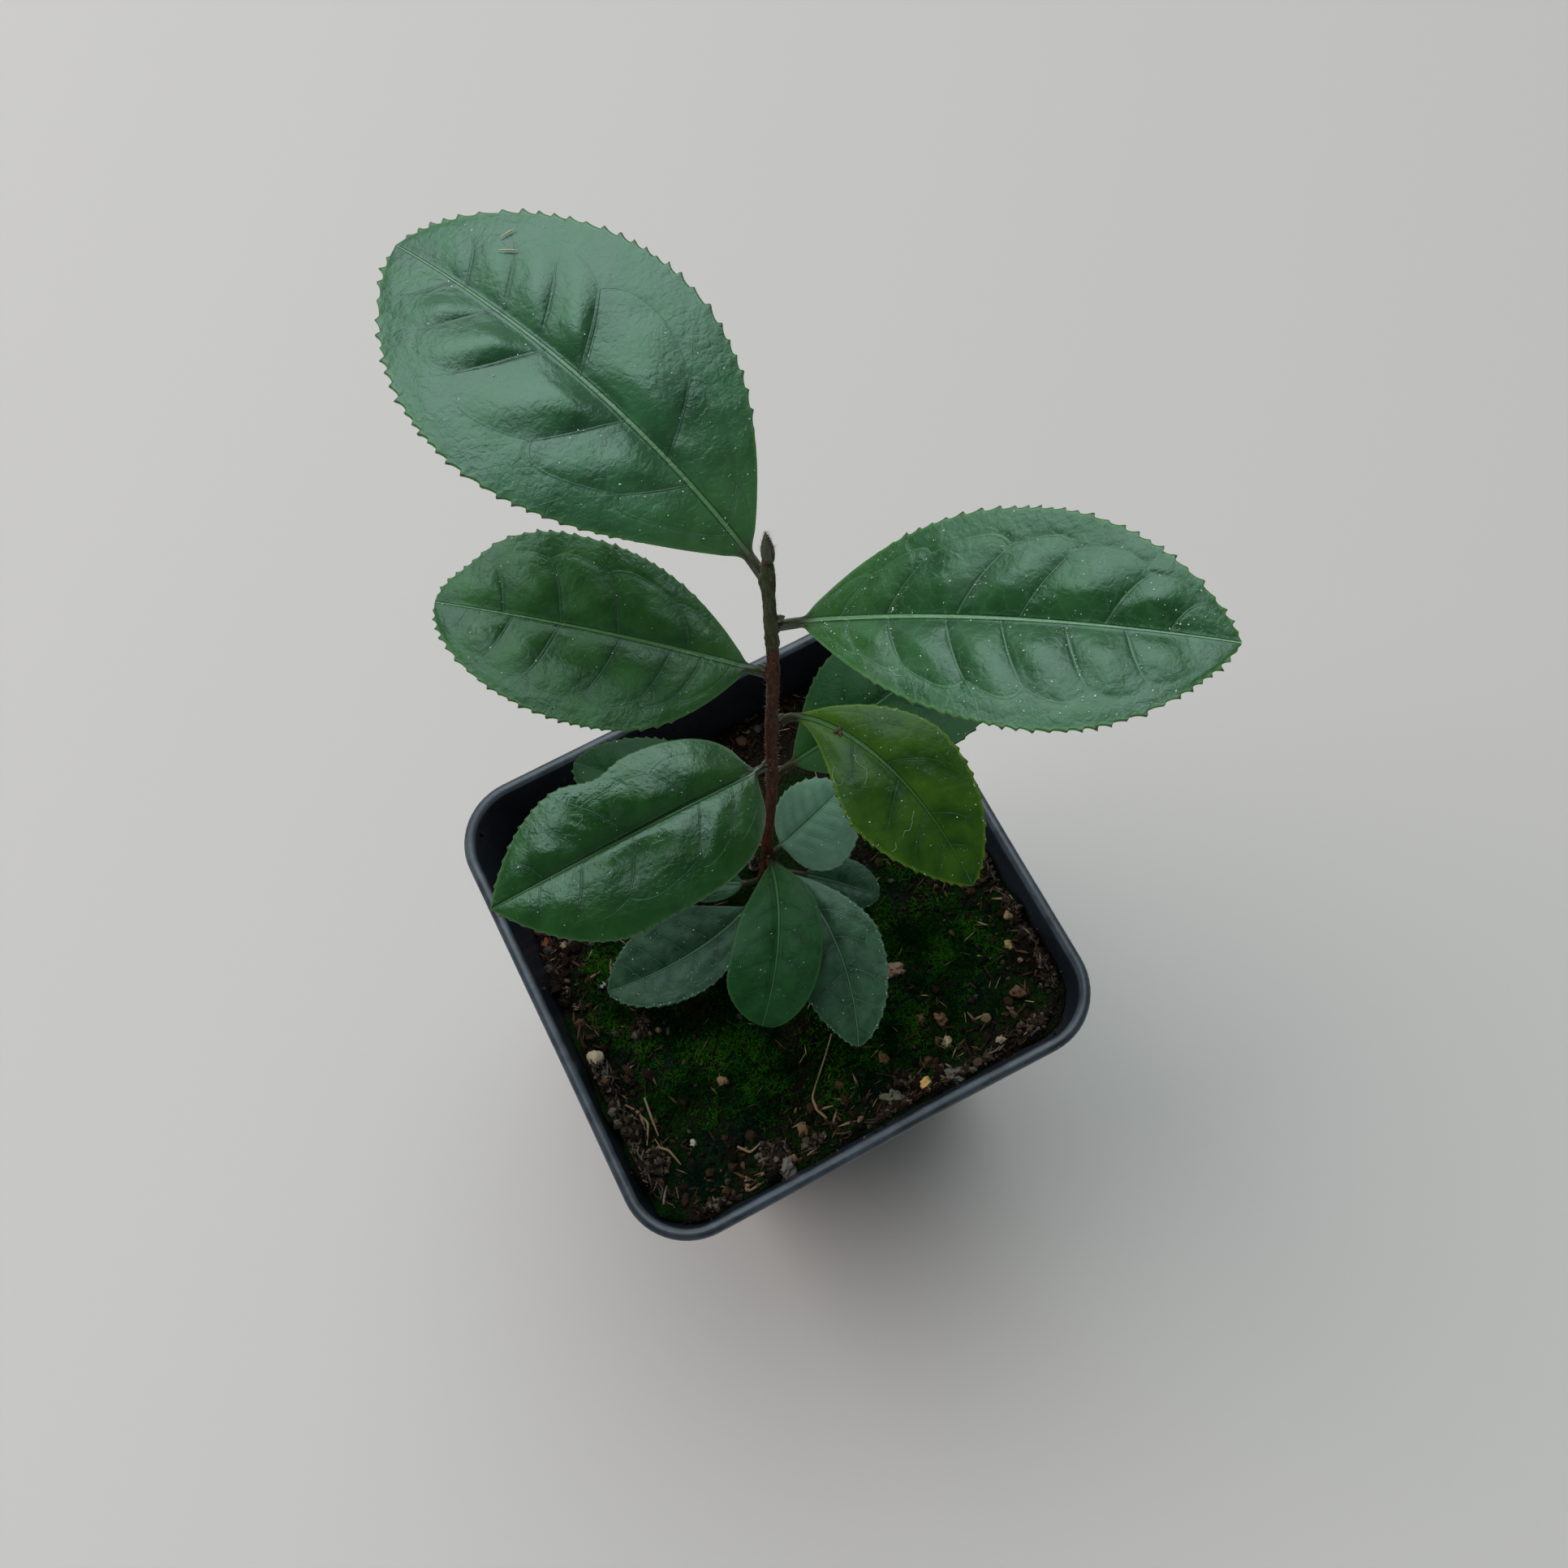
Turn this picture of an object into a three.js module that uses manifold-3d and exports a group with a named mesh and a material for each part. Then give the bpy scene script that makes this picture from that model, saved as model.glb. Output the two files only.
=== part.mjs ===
// A young tea bush raised from a cutting, standing in its square nursery pot.
// Millimetres, +Z up. The origin is the centre of the pot's flat underside, and X and Y run along its sides.

import * as THREE from "three";
import { mergeVertices } from "three/addons/utils/BufferGeometryUtils.js";
import Module from "manifold-3d";

const wasm = await Module();
wasm.setup();

// Clearance between two pieces that touch on the real plant
const GAP = 0.3;

// Pot: a thin tapering box with round corners, a stepped collar and a flat lip
const POT_HEIGHT = 100;
const POT_RIM_HALF = 45;
const POT_RIM_RADIUS = 12;
const POT_FOOT_HALF = 32;
const POT_FOOT_RADIUS = 8;
const POT_WALL = 1.2;
const POT_FLOOR = 1.6;
const COLLAR_HEIGHT = 9;
const COLLAR_STEP = 1.1;
const LIP_WIDTH = 2.1;
const LIP_EASE = 0.5;
const CORNER_STEPS = 6;
const DRAIN_RADIUS = 3.2;
const DRAIN_COUNT = 8;
const DRAIN_CIRCLE = 19;
const DRAIN_SIDES = 16;
const SLOT_WIDTH = 4;
const SLOT_HEIGHT = 5;

// Potting mix: nearly level in front, and sunk towards the pot's rear left corner
const MIX_TOP = 90.6;
const MIX_SINK = 8;
const MIX_SINK_START = -5;
const MIX_SINK_SKEW = 0.35;
const MIX_RIPPLE = 0.5;
const MIX_RIPPLE_LENGTH = 11;
const MIX_RINGS = 5;

// Stem: it leans a little, more so low down, and tapers to the bud
const STEM_FOOT = { x: 2.4, y: 8.3 };
const STEM_TIP = { x: 8.2, y: 5.2, height: 224 };
const STEM_BOW = 0.55;
const STEM_FOOT_RADIUS = 1.0;
const STEM_TIP_RADIUS = 0.7;
const STEM_FLARE = 0.25;
const STEM_FLARE_HEIGHT = 4;
const STEM_SIDES = 12;
const STEM_STEPS = 22;
const SEAT_DEPTH = 1.6;

// Bud at the tip of the stem: fattest below its middle, and blunt enough at the end to stay solid
const BUD_LENGTH = 6.4;
const BUD_RADIUS = 0.95;
const BUD_TIP_RADIUS = 0.15;
const BUD_LOWNESS = 0.7;
const BUD_STEPS = 8;

// Old wood of the cutting that the shoot grew from: a short cut stick beside the stem
const OLD_WOOD = { foot: { x: 2, y: 11.4 }, top: { x: 1.9, y: 10.8, height: 103 } };
const OLD_WOOD_FOOT_RADIUS = 1.0;
const OLD_WOOD_TOP_RADIUS = 0.85;
const OLD_WOOD_STEPS = 3;

// Build of every leaf
const LEAF_THICKNESS = 0.6;
const RIB_DEPTH = 0.5;
const STALK_RADIUS = 0.75;
const TIP_HALF = 0.3;
const STALK_STEPS = 3;
const BLADE_STEPS = 16;
const BLADE_BLEND = 0.14;
const CURVE_STEPS = 64;

// Leaves that start below this height are the older, darker ones
const OLD_LEAF_HEIGHT = 130;

// What a leaf is like unless its own entry says otherwise.
// settle under 1 puts most of the turn and droop near the stem, shoulder under 1 rounds the blade's base,
// and baseCurve and tipCurve set how full the blade is towards its base and its tip.
const HABIT = {
  turn: 0,
  settle: 0.8,
  fold: 8,
  cup: -0.1,
  roll: 0,
  shoulder: 1,
  baseCurve: 2,
  tipCurve: 0.7,
};

// The leaves from the top down. Headings are degrees anticlockwise from +X, and a leaf's left and right
// are its half widths as seen from the stem. widest gives how far along the blade each half is widest.
const LEAVES = [
  {
    name: "leaf_top_left", height: 219.5, heading: 103, turn: 14, rise: 36, droop: 41, settle: 0.7,
    stalk: 1.8, length: 50, left: 15.7, right: 15, widest: [0.56, 0.51], baseCurve: 1.95, roll: -1,
  },
  {
    name: "leaf_top_right", height: 209, heading: -37, turn: -2, rise: 37, droop: 35, settle: 0.7,
    stalk: 2.2, length: 46.5, left: 11.9, right: 12.2, widest: [0.55, 0.6], baseCurve: 2.1,
    tipCurve: 0.85, cup: -0.12, roll: 4,
  },
  {
    name: "leaf_upper_left", height: 194, heading: 143, turn: -1, rise: 25, droop: 27, settle: 0.7,
    stalk: 1.5, length: 38, left: 11.8, right: 11.1, widest: [0.46, 0.64], baseCurve: 2.4,
    tipCurve: 0.6, roll: -3,
  },
  {
    name: "leaf_middle_right", height: 176, heading: -4, turn: -86, rise: 60, droop: 80, settle: 0.3,
    stalk: 2, length: 33, left: 8.3, right: 9, widest: [0.48, 0.51], baseCurve: 1.55, shoulder: 1.2,
    tipCurve: 0.8, fold: 12, cup: -0.15, roll: 1,
  },
  {
    name: "leaf_middle_left", height: 160, heading: -174, turn: -6, rise: 24, droop: 32,
    stalk: 1.5, length: 41.5, left: 12.9, right: 10.6, widest: [0.58, 0.6], baseCurve: 3.9,
    shoulder: 0.55, tipCurve: 1.15, fold: 12, cup: -0.2, roll: -10,
  },
  {
    name: "leaf_rear_right", height: 154, heading: -4, turn: 22, rise: 34, droop: 50, settle: 0.7,
    stalk: 2, length: 37, left: 10.5, right: 13.5, widest: [0.45, 0.55], tipCurve: 0.8, fold: 14, roll: -10,
  },
  {
    name: "leaf_rear_left", height: 118, heading: 131, rise: 26, droop: 36,
    stalk: 2.5, length: 32, left: 9, right: 9.4, widest: [0.5, 0.46],
  },
  {
    name: "leaf_low_front", height: 110, heading: -99, turn: -36, rise: 31, droop: 38,
    stalk: 0.8, length: 30, left: 7.6, right: 7.8, widest: [0.57, 0.75], baseCurve: 2.65,
    tipCurve: 0.5, roll: 1,
  },
  {
    name: "leaf_low_rear_right", height: 107, heading: 4, turn: 14, rise: 40, droop: 34,
    stalk: 1.8, length: 15.5, left: 6.6, right: 9.6, widest: [0.48, 0.4], shoulder: 0.55,
    tipCurve: 0.6, fold: 6,
  },
  {
    name: "leaf_low_front_right", height: 106, heading: -65, turn: -51, rise: 26, droop: 38,
    stalk: 4, length: 33.5, left: 7.6, right: 8.3, widest: [0.47, 0.56], baseCurve: 1.3,
  },
  {
    name: "leaf_low_front_left", height: 99, heading: -114, turn: -77, rise: 22, droop: 32, settle: 0.35,
    stalk: 7, length: 29.5, left: 7.2, right: 9, widest: [0.5, 0.5], fold: 12, roll: -1,
  },
  {
    name: "leaf_low_right", height: 98, heading: -36, turn: -10, rise: 12, droop: 24,
    stalk: 6, length: 14, left: 4.8, right: 4.8, widest: [0.5, 0.5], shoulder: 0.7, tipCurve: 0.6, fold: 6,
  },
  {
    name: "leaf_low_rear_left", height: 94.5, heading: 195, turn: -75, rise: 30, droop: 34, settle: 0.4,
    stalk: 3, length: 16, left: 4.6, right: 4.6, widest: [0.5, 0.5], shoulder: 0.8,
  },
];

// Finishes
const POT_PLASTIC = { color: 0x17191c, roughness: 0.42, metalness: 0 };
const MIX_SOIL = { color: 0x2b2a1c, roughness: 0.95, metalness: 0 };
const STEM_BARK = { color: 0x6b3a2a, roughness: 0.7, metalness: 0 };
const BUD_SCALES = { color: 0x6f8a4e, roughness: 0.6, metalness: 0 };
const DRY_WOOD = { color: 0xb9a79a, roughness: 0.85, metalness: 0 };
const UPPER_LEAF = { color: 0x3f6b3a, roughness: 0.38, metalness: 0 };
const YOUNG_LEAF = { color: 0x5c7a2c, roughness: 0.42, metalness: 0 };
const LOWER_LEAF = { color: 0x35584a, roughness: 0.45, metalness: 0 };

const { clamp, lerp, smoothstep, degToRad: radians } = THREE.MathUtils;

// A closed solid through rings of equal point count, each running anticlockwise about the way along the rings
function loft(rings) {
  const count = rings[0].length;
  const points = rings.flat();
  const triangles = [];
  for (let ring = 0; ring + 1 < rings.length; ring += 1) {
    for (let side = 0; side < count; side += 1) {
      const a = ring * count + side;
      const b = ring * count + ((side + 1) % count);
      triangles.push(a, b, b + count, a, b + count, a + count);
    }
  }
  const middleOf = (ring) => {
    const sum = ring.reduce((total, point) => total.add(point), new THREE.Vector3());
    return sum.divideScalar(count);
  };
  const firstCentre = points.push(middleOf(rings[0])) - 1;
  const lastCentre = points.push(middleOf(rings[rings.length - 1])) - 1;
  const lastStart = (rings.length - 1) * count;
  for (let side = 0; side < count; side += 1) {
    const next = (side + 1) % count;
    triangles.push(firstCentre, next, side);
    triangles.push(lastCentre, lastStart + side, lastStart + next);
  }
  const geometry = new THREE.BufferGeometry();
  geometry.setFromPoints(points);
  geometry.setIndex(triangles);
  return geometry;
}

// A mesh made ready for cutting, and a cut solid made a mesh again
function toSolid(geometry) {
  const bare = geometry.clone();
  bare.deleteAttribute("normal");
  bare.deleteAttribute("uv");
  const merged = mergeVertices(bare);
  const vertProperties = new Float32Array(merged.attributes.position.array);
  const triVerts = new Uint32Array(merged.index.array);
  return new wasm.Manifold(new wasm.Mesh({ numProp: 3, vertProperties, triVerts }));
}

function toGeometry(solid) {
  const mesh = solid.getMesh();
  const geometry = new THREE.BufferGeometry();
  geometry.setAttribute("position", new THREE.BufferAttribute(mesh.vertProperties, mesh.numProp));
  geometry.setIndex(new THREE.BufferAttribute(mesh.triVerts, 1));
  return geometry;
}

// A level ring in the shape of a square with round corners
function squareRing(half, radius, heightAt) {
  const ring = [];
  for (let corner = 0; corner < 4; corner += 1) {
    const middle = Math.PI / 4 + (corner * Math.PI) / 2;
    const x = Math.sign(Math.cos(middle)) * (half - radius);
    const y = Math.sign(Math.sin(middle)) * (half - radius);
    for (let step = 0; step <= CORNER_STEPS; step += 1) {
      const angle = middle + (step / CORNER_STEPS - 0.5) * (Math.PI / 2);
      const point = new THREE.Vector3(x + radius * Math.cos(angle), y + radius * Math.sin(angle), 0);
      point.z = heightAt(point.x, point.y);
      ring.push(point);
    }
  }
  return ring;
}

const levelRing = (half, radius, height) => squareRing(half, radius, () => height);

// Outer half width and corner radius of the pot's tapering wall at a height
const COLLAR_FOOT = POT_HEIGHT - COLLAR_HEIGHT;
const wallHalf = (height) => lerp(POT_FOOT_HALF, POT_RIM_HALF - COLLAR_STEP, height / POT_HEIGHT);
const wallRadius = (height) => lerp(POT_FOOT_RADIUS, POT_RIM_RADIUS - COLLAR_STEP, height / POT_HEIGHT);

// Space inside the pot: the wall's inner face below the collar, and the lip's inner face above it
function innerHalf(height) {
  return Math.min(wallHalf(height) - POT_WALL, POT_RIM_HALF - LIP_WIDTH);
}

const innerRadius = (height) => wallRadius(height) - POT_WALL;

// The pot: its shell, less the round drain holes in the floor and a slot at each foot corner
function potGeometry() {
  const lipInner = POT_RIM_HALF - LIP_WIDTH;
  const lipRadius = POT_RIM_RADIUS - LIP_WIDTH;
  const collarHalf = wallHalf(COLLAR_FOOT) + COLLAR_STEP;
  const innerTop = POT_HEIGHT - LIP_EASE;
  const shell = loft([
    levelRing(POT_FOOT_HALF - LIP_EASE, POT_FOOT_RADIUS - LIP_EASE, 0),
    levelRing(wallHalf(LIP_EASE), wallRadius(LIP_EASE), LIP_EASE),
    levelRing(wallHalf(COLLAR_FOOT), wallRadius(COLLAR_FOOT), COLLAR_FOOT),
    levelRing(collarHalf, wallRadius(COLLAR_FOOT) + COLLAR_STEP, COLLAR_FOOT + LIP_EASE),
    levelRing(POT_RIM_HALF, POT_RIM_RADIUS, innerTop),
    levelRing(POT_RIM_HALF - LIP_EASE, POT_RIM_RADIUS - LIP_EASE, POT_HEIGHT),
    levelRing(lipInner + LIP_EASE, lipRadius + LIP_EASE, POT_HEIGHT),
    levelRing(lipInner, lipRadius, innerTop),
    levelRing(innerHalf(COLLAR_FOOT), innerRadius(COLLAR_FOOT), COLLAR_FOOT),
    levelRing(innerHalf(POT_FLOOR), innerRadius(POT_FLOOR), POT_FLOOR),
  ]);
  let pot = toSolid(shell);
  for (let hole = 0; hole < DRAIN_COUNT; hole += 1) {
    const angle = ((hole + 0.5) * 2 * Math.PI) / DRAIN_COUNT;
    const drain = new THREE.CylinderGeometry(DRAIN_RADIUS, DRAIN_RADIUS, POT_FLOOR * 4, DRAIN_SIDES);
    drain.rotateX(Math.PI / 2);
    drain.translate(DRAIN_CIRCLE * Math.cos(angle), DRAIN_CIRCLE * Math.sin(angle), 0);
    pot = pot.subtract(toSolid(drain));
  }
  for (let corner = 0; corner < 4; corner += 1) {
    const slot = new THREE.BoxGeometry(POT_FOOT_RADIUS * 2, SLOT_WIDTH, SLOT_HEIGHT * 2);
    const reach = (POT_FOOT_HALF - POT_FOOT_RADIUS) * Math.SQRT2 + POT_FOOT_RADIUS;
    slot.translate(reach, 0, 0);
    slot.rotateZ(Math.PI / 4 + (corner * Math.PI) / 2);
    pot = pot.subtract(toSolid(slot));
  }
  return toGeometry(pot);
}

// Height of the potting mix: it falls away towards the rear left corner and ripples a little
function mixTop(x, y) {
  const towardsCorner = (y - MIX_SINK_SKEW * x - MIX_SINK_START) / POT_RIM_HALF;
  const sunk = clamp(towardsCorner, 0, 1) ** 2 * MIX_SINK;
  const ripple = Math.sin(x / MIX_RIPPLE_LENGTH + 1) * Math.cos(y / MIX_RIPPLE_LENGTH);
  return MIX_TOP - sunk + ripple * MIX_RIPPLE;
}

// One ring of the mix's top surface, drawn in where the surface is lower, as the wall is
function mixRing(share) {
  const half = innerHalf(MIX_TOP) - GAP;
  const ring = squareRing(half * share, (innerRadius(MIX_TOP) - GAP) * share, mixTop);
  return ring.map((point) => {
    const drawn = (innerHalf(point.z) - GAP) / half;
    return new THREE.Vector3(point.x * drawn, point.y * drawn, point.z);
  });
}

// Where the stem's axis is at a height, and how thick the stem is there
const STEM_SEAT = mixTop(STEM_FOOT.x, STEM_FOOT.y) - SEAT_DEPTH;

function stemPoint(height) {
  const along = (height - STEM_SEAT) / (STEM_TIP.height - STEM_SEAT);
  const eased = along * (1 + STEM_BOW * (1 - along));
  const x = lerp(STEM_FOOT.x, STEM_TIP.x, eased);
  const y = lerp(STEM_FOOT.y, STEM_TIP.y, eased);
  return new THREE.Vector3(x, y, height);
}

function stemRadius(height) {
  const along = (height - STEM_SEAT) / (STEM_TIP.height - STEM_SEAT);
  const flare = STEM_FLARE * Math.exp(-Math.max(height - STEM_SEAT, 0) / STEM_FLARE_HEIGHT);
  return lerp(STEM_FOOT_RADIUS, STEM_TIP_RADIUS, along) + flare;
}

function roundRing(centre, radius) {
  const ring = [];
  for (let side = 0; side < STEM_SIDES; side += 1) {
    const angle = (side * 2 * Math.PI) / STEM_SIDES;
    const offset = new THREE.Vector3(Math.cos(angle), Math.sin(angle), 0).multiplyScalar(radius);
    ring.push(offset.add(centre));
  }
  return ring;
}

// The stem's rings between two heights, made wider by extra
function stemRings(low, high, extra) {
  const rings = [];
  for (let step = 0; step <= STEM_STEPS; step += 1) {
    const height = lerp(low, high, step / STEM_STEPS);
    rings.push(roundRing(stemPoint(height), stemRadius(height) + extra));
  }
  return rings;
}

// The bud: a slim pointed spindle that carries on the stem's lean
function budGeometry() {
  const foot = STEM_TIP.height + GAP;
  const rings = [];
  for (let step = 0; step <= BUD_STEPS; step += 1) {
    const along = step / BUD_STEPS;
    const swell = Math.sin(Math.PI * along ** BUD_LOWNESS) * (BUD_RADIUS - STEM_TIP_RADIUS);
    const radius = (STEM_TIP_RADIUS + swell) * Math.sqrt(1 - along ** 2) + BUD_TIP_RADIUS * along;
    rings.push(roundRing(stemPoint(foot + along * BUD_LENGTH), radius));
  }
  return loft(rings);
}

// The old wood: a tapering stick cut off flat
const OLD_WOOD_SEAT = mixTop(OLD_WOOD.foot.x, OLD_WOOD.foot.y) - SEAT_DEPTH;

function oldWoodRings(low, extra) {
  const rings = [];
  for (let step = 0; step <= OLD_WOOD_STEPS; step += 1) {
    const height = lerp(low, OLD_WOOD.top.height, step / OLD_WOOD_STEPS);
    const along = (height - OLD_WOOD_SEAT) / (OLD_WOOD.top.height - OLD_WOOD_SEAT);
    const x = lerp(OLD_WOOD.foot.x, OLD_WOOD.top.x, along);
    const y = lerp(OLD_WOOD.foot.y, OLD_WOOD.top.y, along);
    const radius = lerp(OLD_WOOD_FOOT_RADIUS, OLD_WOOD_TOP_RADIUS, along) + extra;
    rings.push(roundRing(new THREE.Vector3(x, y, height), radius));
  }
  return rings;
}

// The potting mix: a block shaped like the pot's inside, with sockets for the stem and the old wood
function mixGeometry() {
  const floor = POT_FLOOR + GAP;
  const rings = [levelRing(innerHalf(floor) - GAP, innerRadius(floor) - GAP, floor)];
  for (let step = 0; step < MIX_RINGS; step += 1) {
    rings.push(mixRing(1 - step / MIX_RINGS));
  }
  const socket = loft(stemRings(STEM_SEAT - GAP, MIX_TOP + POT_WALL, GAP));
  const oldSocket = loft(oldWoodRings(OLD_WOOD_SEAT - GAP, GAP));
  return toGeometry(toSolid(loft(rings)).subtract(toSolid(socket)).subtract(toSolid(oldSocket)));
}

// How wide one half of a blade is, as a share of its widest, at a place along the blade
function bladeShape(leaf, place, widest) {
  if (place < widest) {
    const back = (widest - place) / widest;
    return (1 - back ** leaf.baseCurve) ** leaf.shoulder;
  }
  const on = (place - widest) / (1 - widest);
  return Math.max(1 - on ** 2, 0) ** leaf.tipCurve;
}

// The midrib from the stem to the tip: evenly spaced points, each with its heading and its slope
function midrib(leaf) {
  const whole = leaf.stalk + leaf.length;
  const step = whole / CURVE_STEPS;
  const start = stemPoint(leaf.height);
  const heading = radians(leaf.heading);
  const clear = stemRadius(leaf.height) + GAP + STALK_RADIUS * Math.sin(radians(leaf.rise));
  const outward = new THREE.Vector3(Math.cos(heading), Math.sin(heading), 0);
  const point = start.addScaledVector(outward, clear);
  const line = [];
  for (let index = 0; index <= CURVE_STEPS; index += 1) {
    const eased = (index / CURVE_STEPS) ** leaf.settle;
    const turned = heading + radians(leaf.turn) * eased;
    const slope = radians(leaf.rise - leaf.droop * eased);
    const level = new THREE.Vector3(Math.cos(turned), Math.sin(turned), 0);
    const along = level.multiplyScalar(Math.cos(slope)).setZ(Math.sin(slope));
    const across = new THREE.Vector3(-Math.sin(turned), Math.cos(turned), 0);
    line.push({ point: point.clone(), along, across });
    point.addScaledVector(along, step);
  }
  return line;
}

// One ring of a leaf: round on the stalk, and a thin folded strip with a rib below on the blade
const STRIP = [1, 0.5, 0, -0.5, -1];

function leafRing(leaf, line, distance) {
  const whole = leaf.stalk + leaf.length;
  const place = (distance - leaf.stalk) / leaf.length;
  const { point, along, across } = line[Math.round((distance / whole) * CURVE_STEPS)];
  const up = new THREE.Vector3().crossVectors(along, across);
  const onBlade = smoothstep(place, 0, BLADE_BLEND);
  const roll = radians(leaf.roll) * onBlade;
  const side = across.clone().multiplyScalar(Math.cos(roll)).addScaledVector(up, Math.sin(roll));
  const normal = new THREE.Vector3().crossVectors(along, side);
  const stalkPart = lerp(STALK_RADIUS, TIP_HALF, Math.max(place, 0));
  const halves = [leaf.left, leaf.right].map((half, index) => {
    const blade = place > 0 ? half * bladeShape(leaf, place, leaf.widest[index]) : 0;
    return Math.hypot(blade, stalkPart);
  });
  const fold = radians(leaf.fold);
  const places = [...STRIP.map((share) => [share, 1]), ...STRIP.map((share) => [-share, -1])];
  return places.map(([share, face], index) => {
    const angle = ((index + 0.5) * 2 * Math.PI) / places.length;
    const half = share >= 0 ? halves[0] : halves[1];
    const wide = Math.abs(share);
    const rib = face < 0 && share === 0 ? RIB_DEPTH * (1 - place) : 0;
    const flatAcross = share * half * Math.cos(fold);
    const lifted = wide * half * Math.sin(fold) + leaf.cup * half * wide ** 2;
    const flatUp = lifted + (face * LEAF_THICKNESS) / 2 - rib;
    const roundAcross = stalkPart * Math.cos(angle);
    const roundUp = stalkPart * Math.sin(angle);
    const ringPoint = point.clone();
    ringPoint.addScaledVector(side, lerp(roundAcross, flatAcross, onBlade));
    ringPoint.addScaledVector(normal, lerp(roundUp, flatUp, onBlade));
    return ringPoint;
  });
}

// A leaf: its stalk's rings, then its blade's, closer together towards both ends
function leafGeometry(leaf) {
  const line = midrib(leaf);
  const rings = [];
  for (let step = 0; step < STALK_STEPS; step += 1) {
    rings.push(leafRing(leaf, line, (leaf.stalk * step) / STALK_STEPS));
  }
  for (let step = 0; step <= BLADE_STEPS; step += 1) {
    const place = (1 - Math.cos((Math.PI * step) / BLADE_STEPS)) / 2;
    rings.push(leafRing(leaf, line, leaf.stalk + leaf.length * place));
  }
  return loft(rings);
}

function leafFinish(leaf) {
  if (leaf.name === "leaf_middle_right") return YOUNG_LEAF;
  return leaf.height > OLD_LEAF_HEIGHT ? UPPER_LEAF : LOWER_LEAF;
}

const group = new THREE.Group();

function addPiece(name, geometry, finish) {
  const mesh = new THREE.Mesh(geometry, new THREE.MeshStandardMaterial(finish));
  mesh.name = name;
  group.add(mesh);
}

addPiece("pot", potGeometry(), POT_PLASTIC);
addPiece("potting_mix", mixGeometry(), MIX_SOIL);
addPiece("old_wood", loft(oldWoodRings(OLD_WOOD_SEAT, 0)), DRY_WOOD);
addPiece("stem", loft(stemRings(STEM_SEAT, STEM_TIP.height, 0)), STEM_BARK);
addPiece("tip_bud", budGeometry(), BUD_SCALES);
LEAVES.forEach((entry) => {
  const leaf = { ...HABIT, ...entry };
  addPiece(leaf.name, leafGeometry(leaf), leafFinish(leaf));
});

export default group;
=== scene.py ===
# %% [markdown]
# # A young tea bush in its square nursery pot
#
# This lesson gives a young potted tea bush its looks. The solids of the plant and its pot are already made
# and packed, so the first step is to load them as a fixed frame. Each plain solid is then either given a
# better finish or hidden behind a finer piece, and every finer piece keeps to the place of its solid.
# Blender counts in metres, while plants and pots are easier to think of in millimetres, so the sizes below
# are millimetres and one factor turns them into metres at the end.

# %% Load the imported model
import math

import bmesh
import bpy
import numpy as np
from mathutils import Matrix, Vector, noise


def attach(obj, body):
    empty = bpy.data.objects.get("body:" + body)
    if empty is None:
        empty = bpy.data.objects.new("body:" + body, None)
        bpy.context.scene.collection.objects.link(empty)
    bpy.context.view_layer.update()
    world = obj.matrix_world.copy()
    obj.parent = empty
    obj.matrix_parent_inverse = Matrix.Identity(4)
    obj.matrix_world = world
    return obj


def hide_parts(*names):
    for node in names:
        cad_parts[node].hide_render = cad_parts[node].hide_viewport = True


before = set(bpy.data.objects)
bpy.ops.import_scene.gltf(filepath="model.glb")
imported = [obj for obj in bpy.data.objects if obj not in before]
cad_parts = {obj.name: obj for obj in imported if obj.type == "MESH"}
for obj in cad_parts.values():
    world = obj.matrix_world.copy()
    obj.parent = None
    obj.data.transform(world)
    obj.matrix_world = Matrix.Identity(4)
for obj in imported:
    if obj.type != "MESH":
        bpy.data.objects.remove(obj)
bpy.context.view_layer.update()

MM = 0.001
BODY = "root"

# %% [markdown]
# ## Small tools for shader nodes
#
# Every finish below is worked out by nodes from the place on the piece, so it needs no image. Adding nodes
# one by one takes many lines, so one helper adds a node, sets its plain inputs and links its sockets.

# %% Helpers that add shader nodes


def add_node(tree, kind, inputs=None, **settings):
    """Adds a shader node: a socket given for an input is linked to it, and anything else is set on it."""
    made = tree.nodes.new("ShaderNode" + kind)
    for key, value in settings.items():
        setattr(made, key, value)
    for key, value in (inputs or {}).items():
        if isinstance(value, bpy.types.NodeSocket):
            tree.links.new(value, made.inputs[key])
        else:
            made.inputs[key].default_value = value
    return made


def math_of(tree, operation, first, second=0.5, clamp=False):
    """One sum on one or two values."""
    return add_node(tree, "Math", {0: first, 1: second}, operation=operation, use_clamp=clamp).outputs[0]


def ramp_of(tree, value, low, high, start=0.0, end=1.0):
    """A value eased from start at low to end at high."""
    inputs = {"Value": value, "From Min": low, "From Max": high, "To Min": start, "To Max": end}
    return add_node(tree, "MapRange", inputs, interpolation_type="SMOOTHSTEP").outputs[0]


def mix_of(tree, share, first, second, blend="MIX"):
    """Two colours mixed by a share."""
    mixed = add_node(tree, "Mix", {0: share, 6: first, 7: second}, data_type="RGBA", blend_type=blend)
    return mixed.outputs[2]


def noise_of(tree, per_metre, detail=2.0, distortion=0.0, place=None):
    """A noise value from 0 to 1 with this many waves to the metre."""
    place = place or add_node(tree, "TexCoord").outputs["Object"]
    inputs = {"Vector": place, "Scale": per_metre, "Detail": detail, "Distortion": distortion}
    return add_node(tree, "TexNoise", inputs).outputs["Fac"]


def new_material(name, roughness, specular=0.5, sheen=0.0, coat=0.0):
    """A material with one plain shader, whose colour and bump the caller links."""
    material = bpy.data.materials.new(name)
    material.use_nodes = True
    shader = material.node_tree.nodes["Principled BSDF"]
    shader.inputs["Roughness"].default_value = roughness
    shader.inputs["Specular IOR Level"].default_value = specular
    shader.inputs["Sheen Weight"].default_value = sheen
    shader.inputs["Coat Weight"].default_value = coat
    return material, material.node_tree, shader


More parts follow.
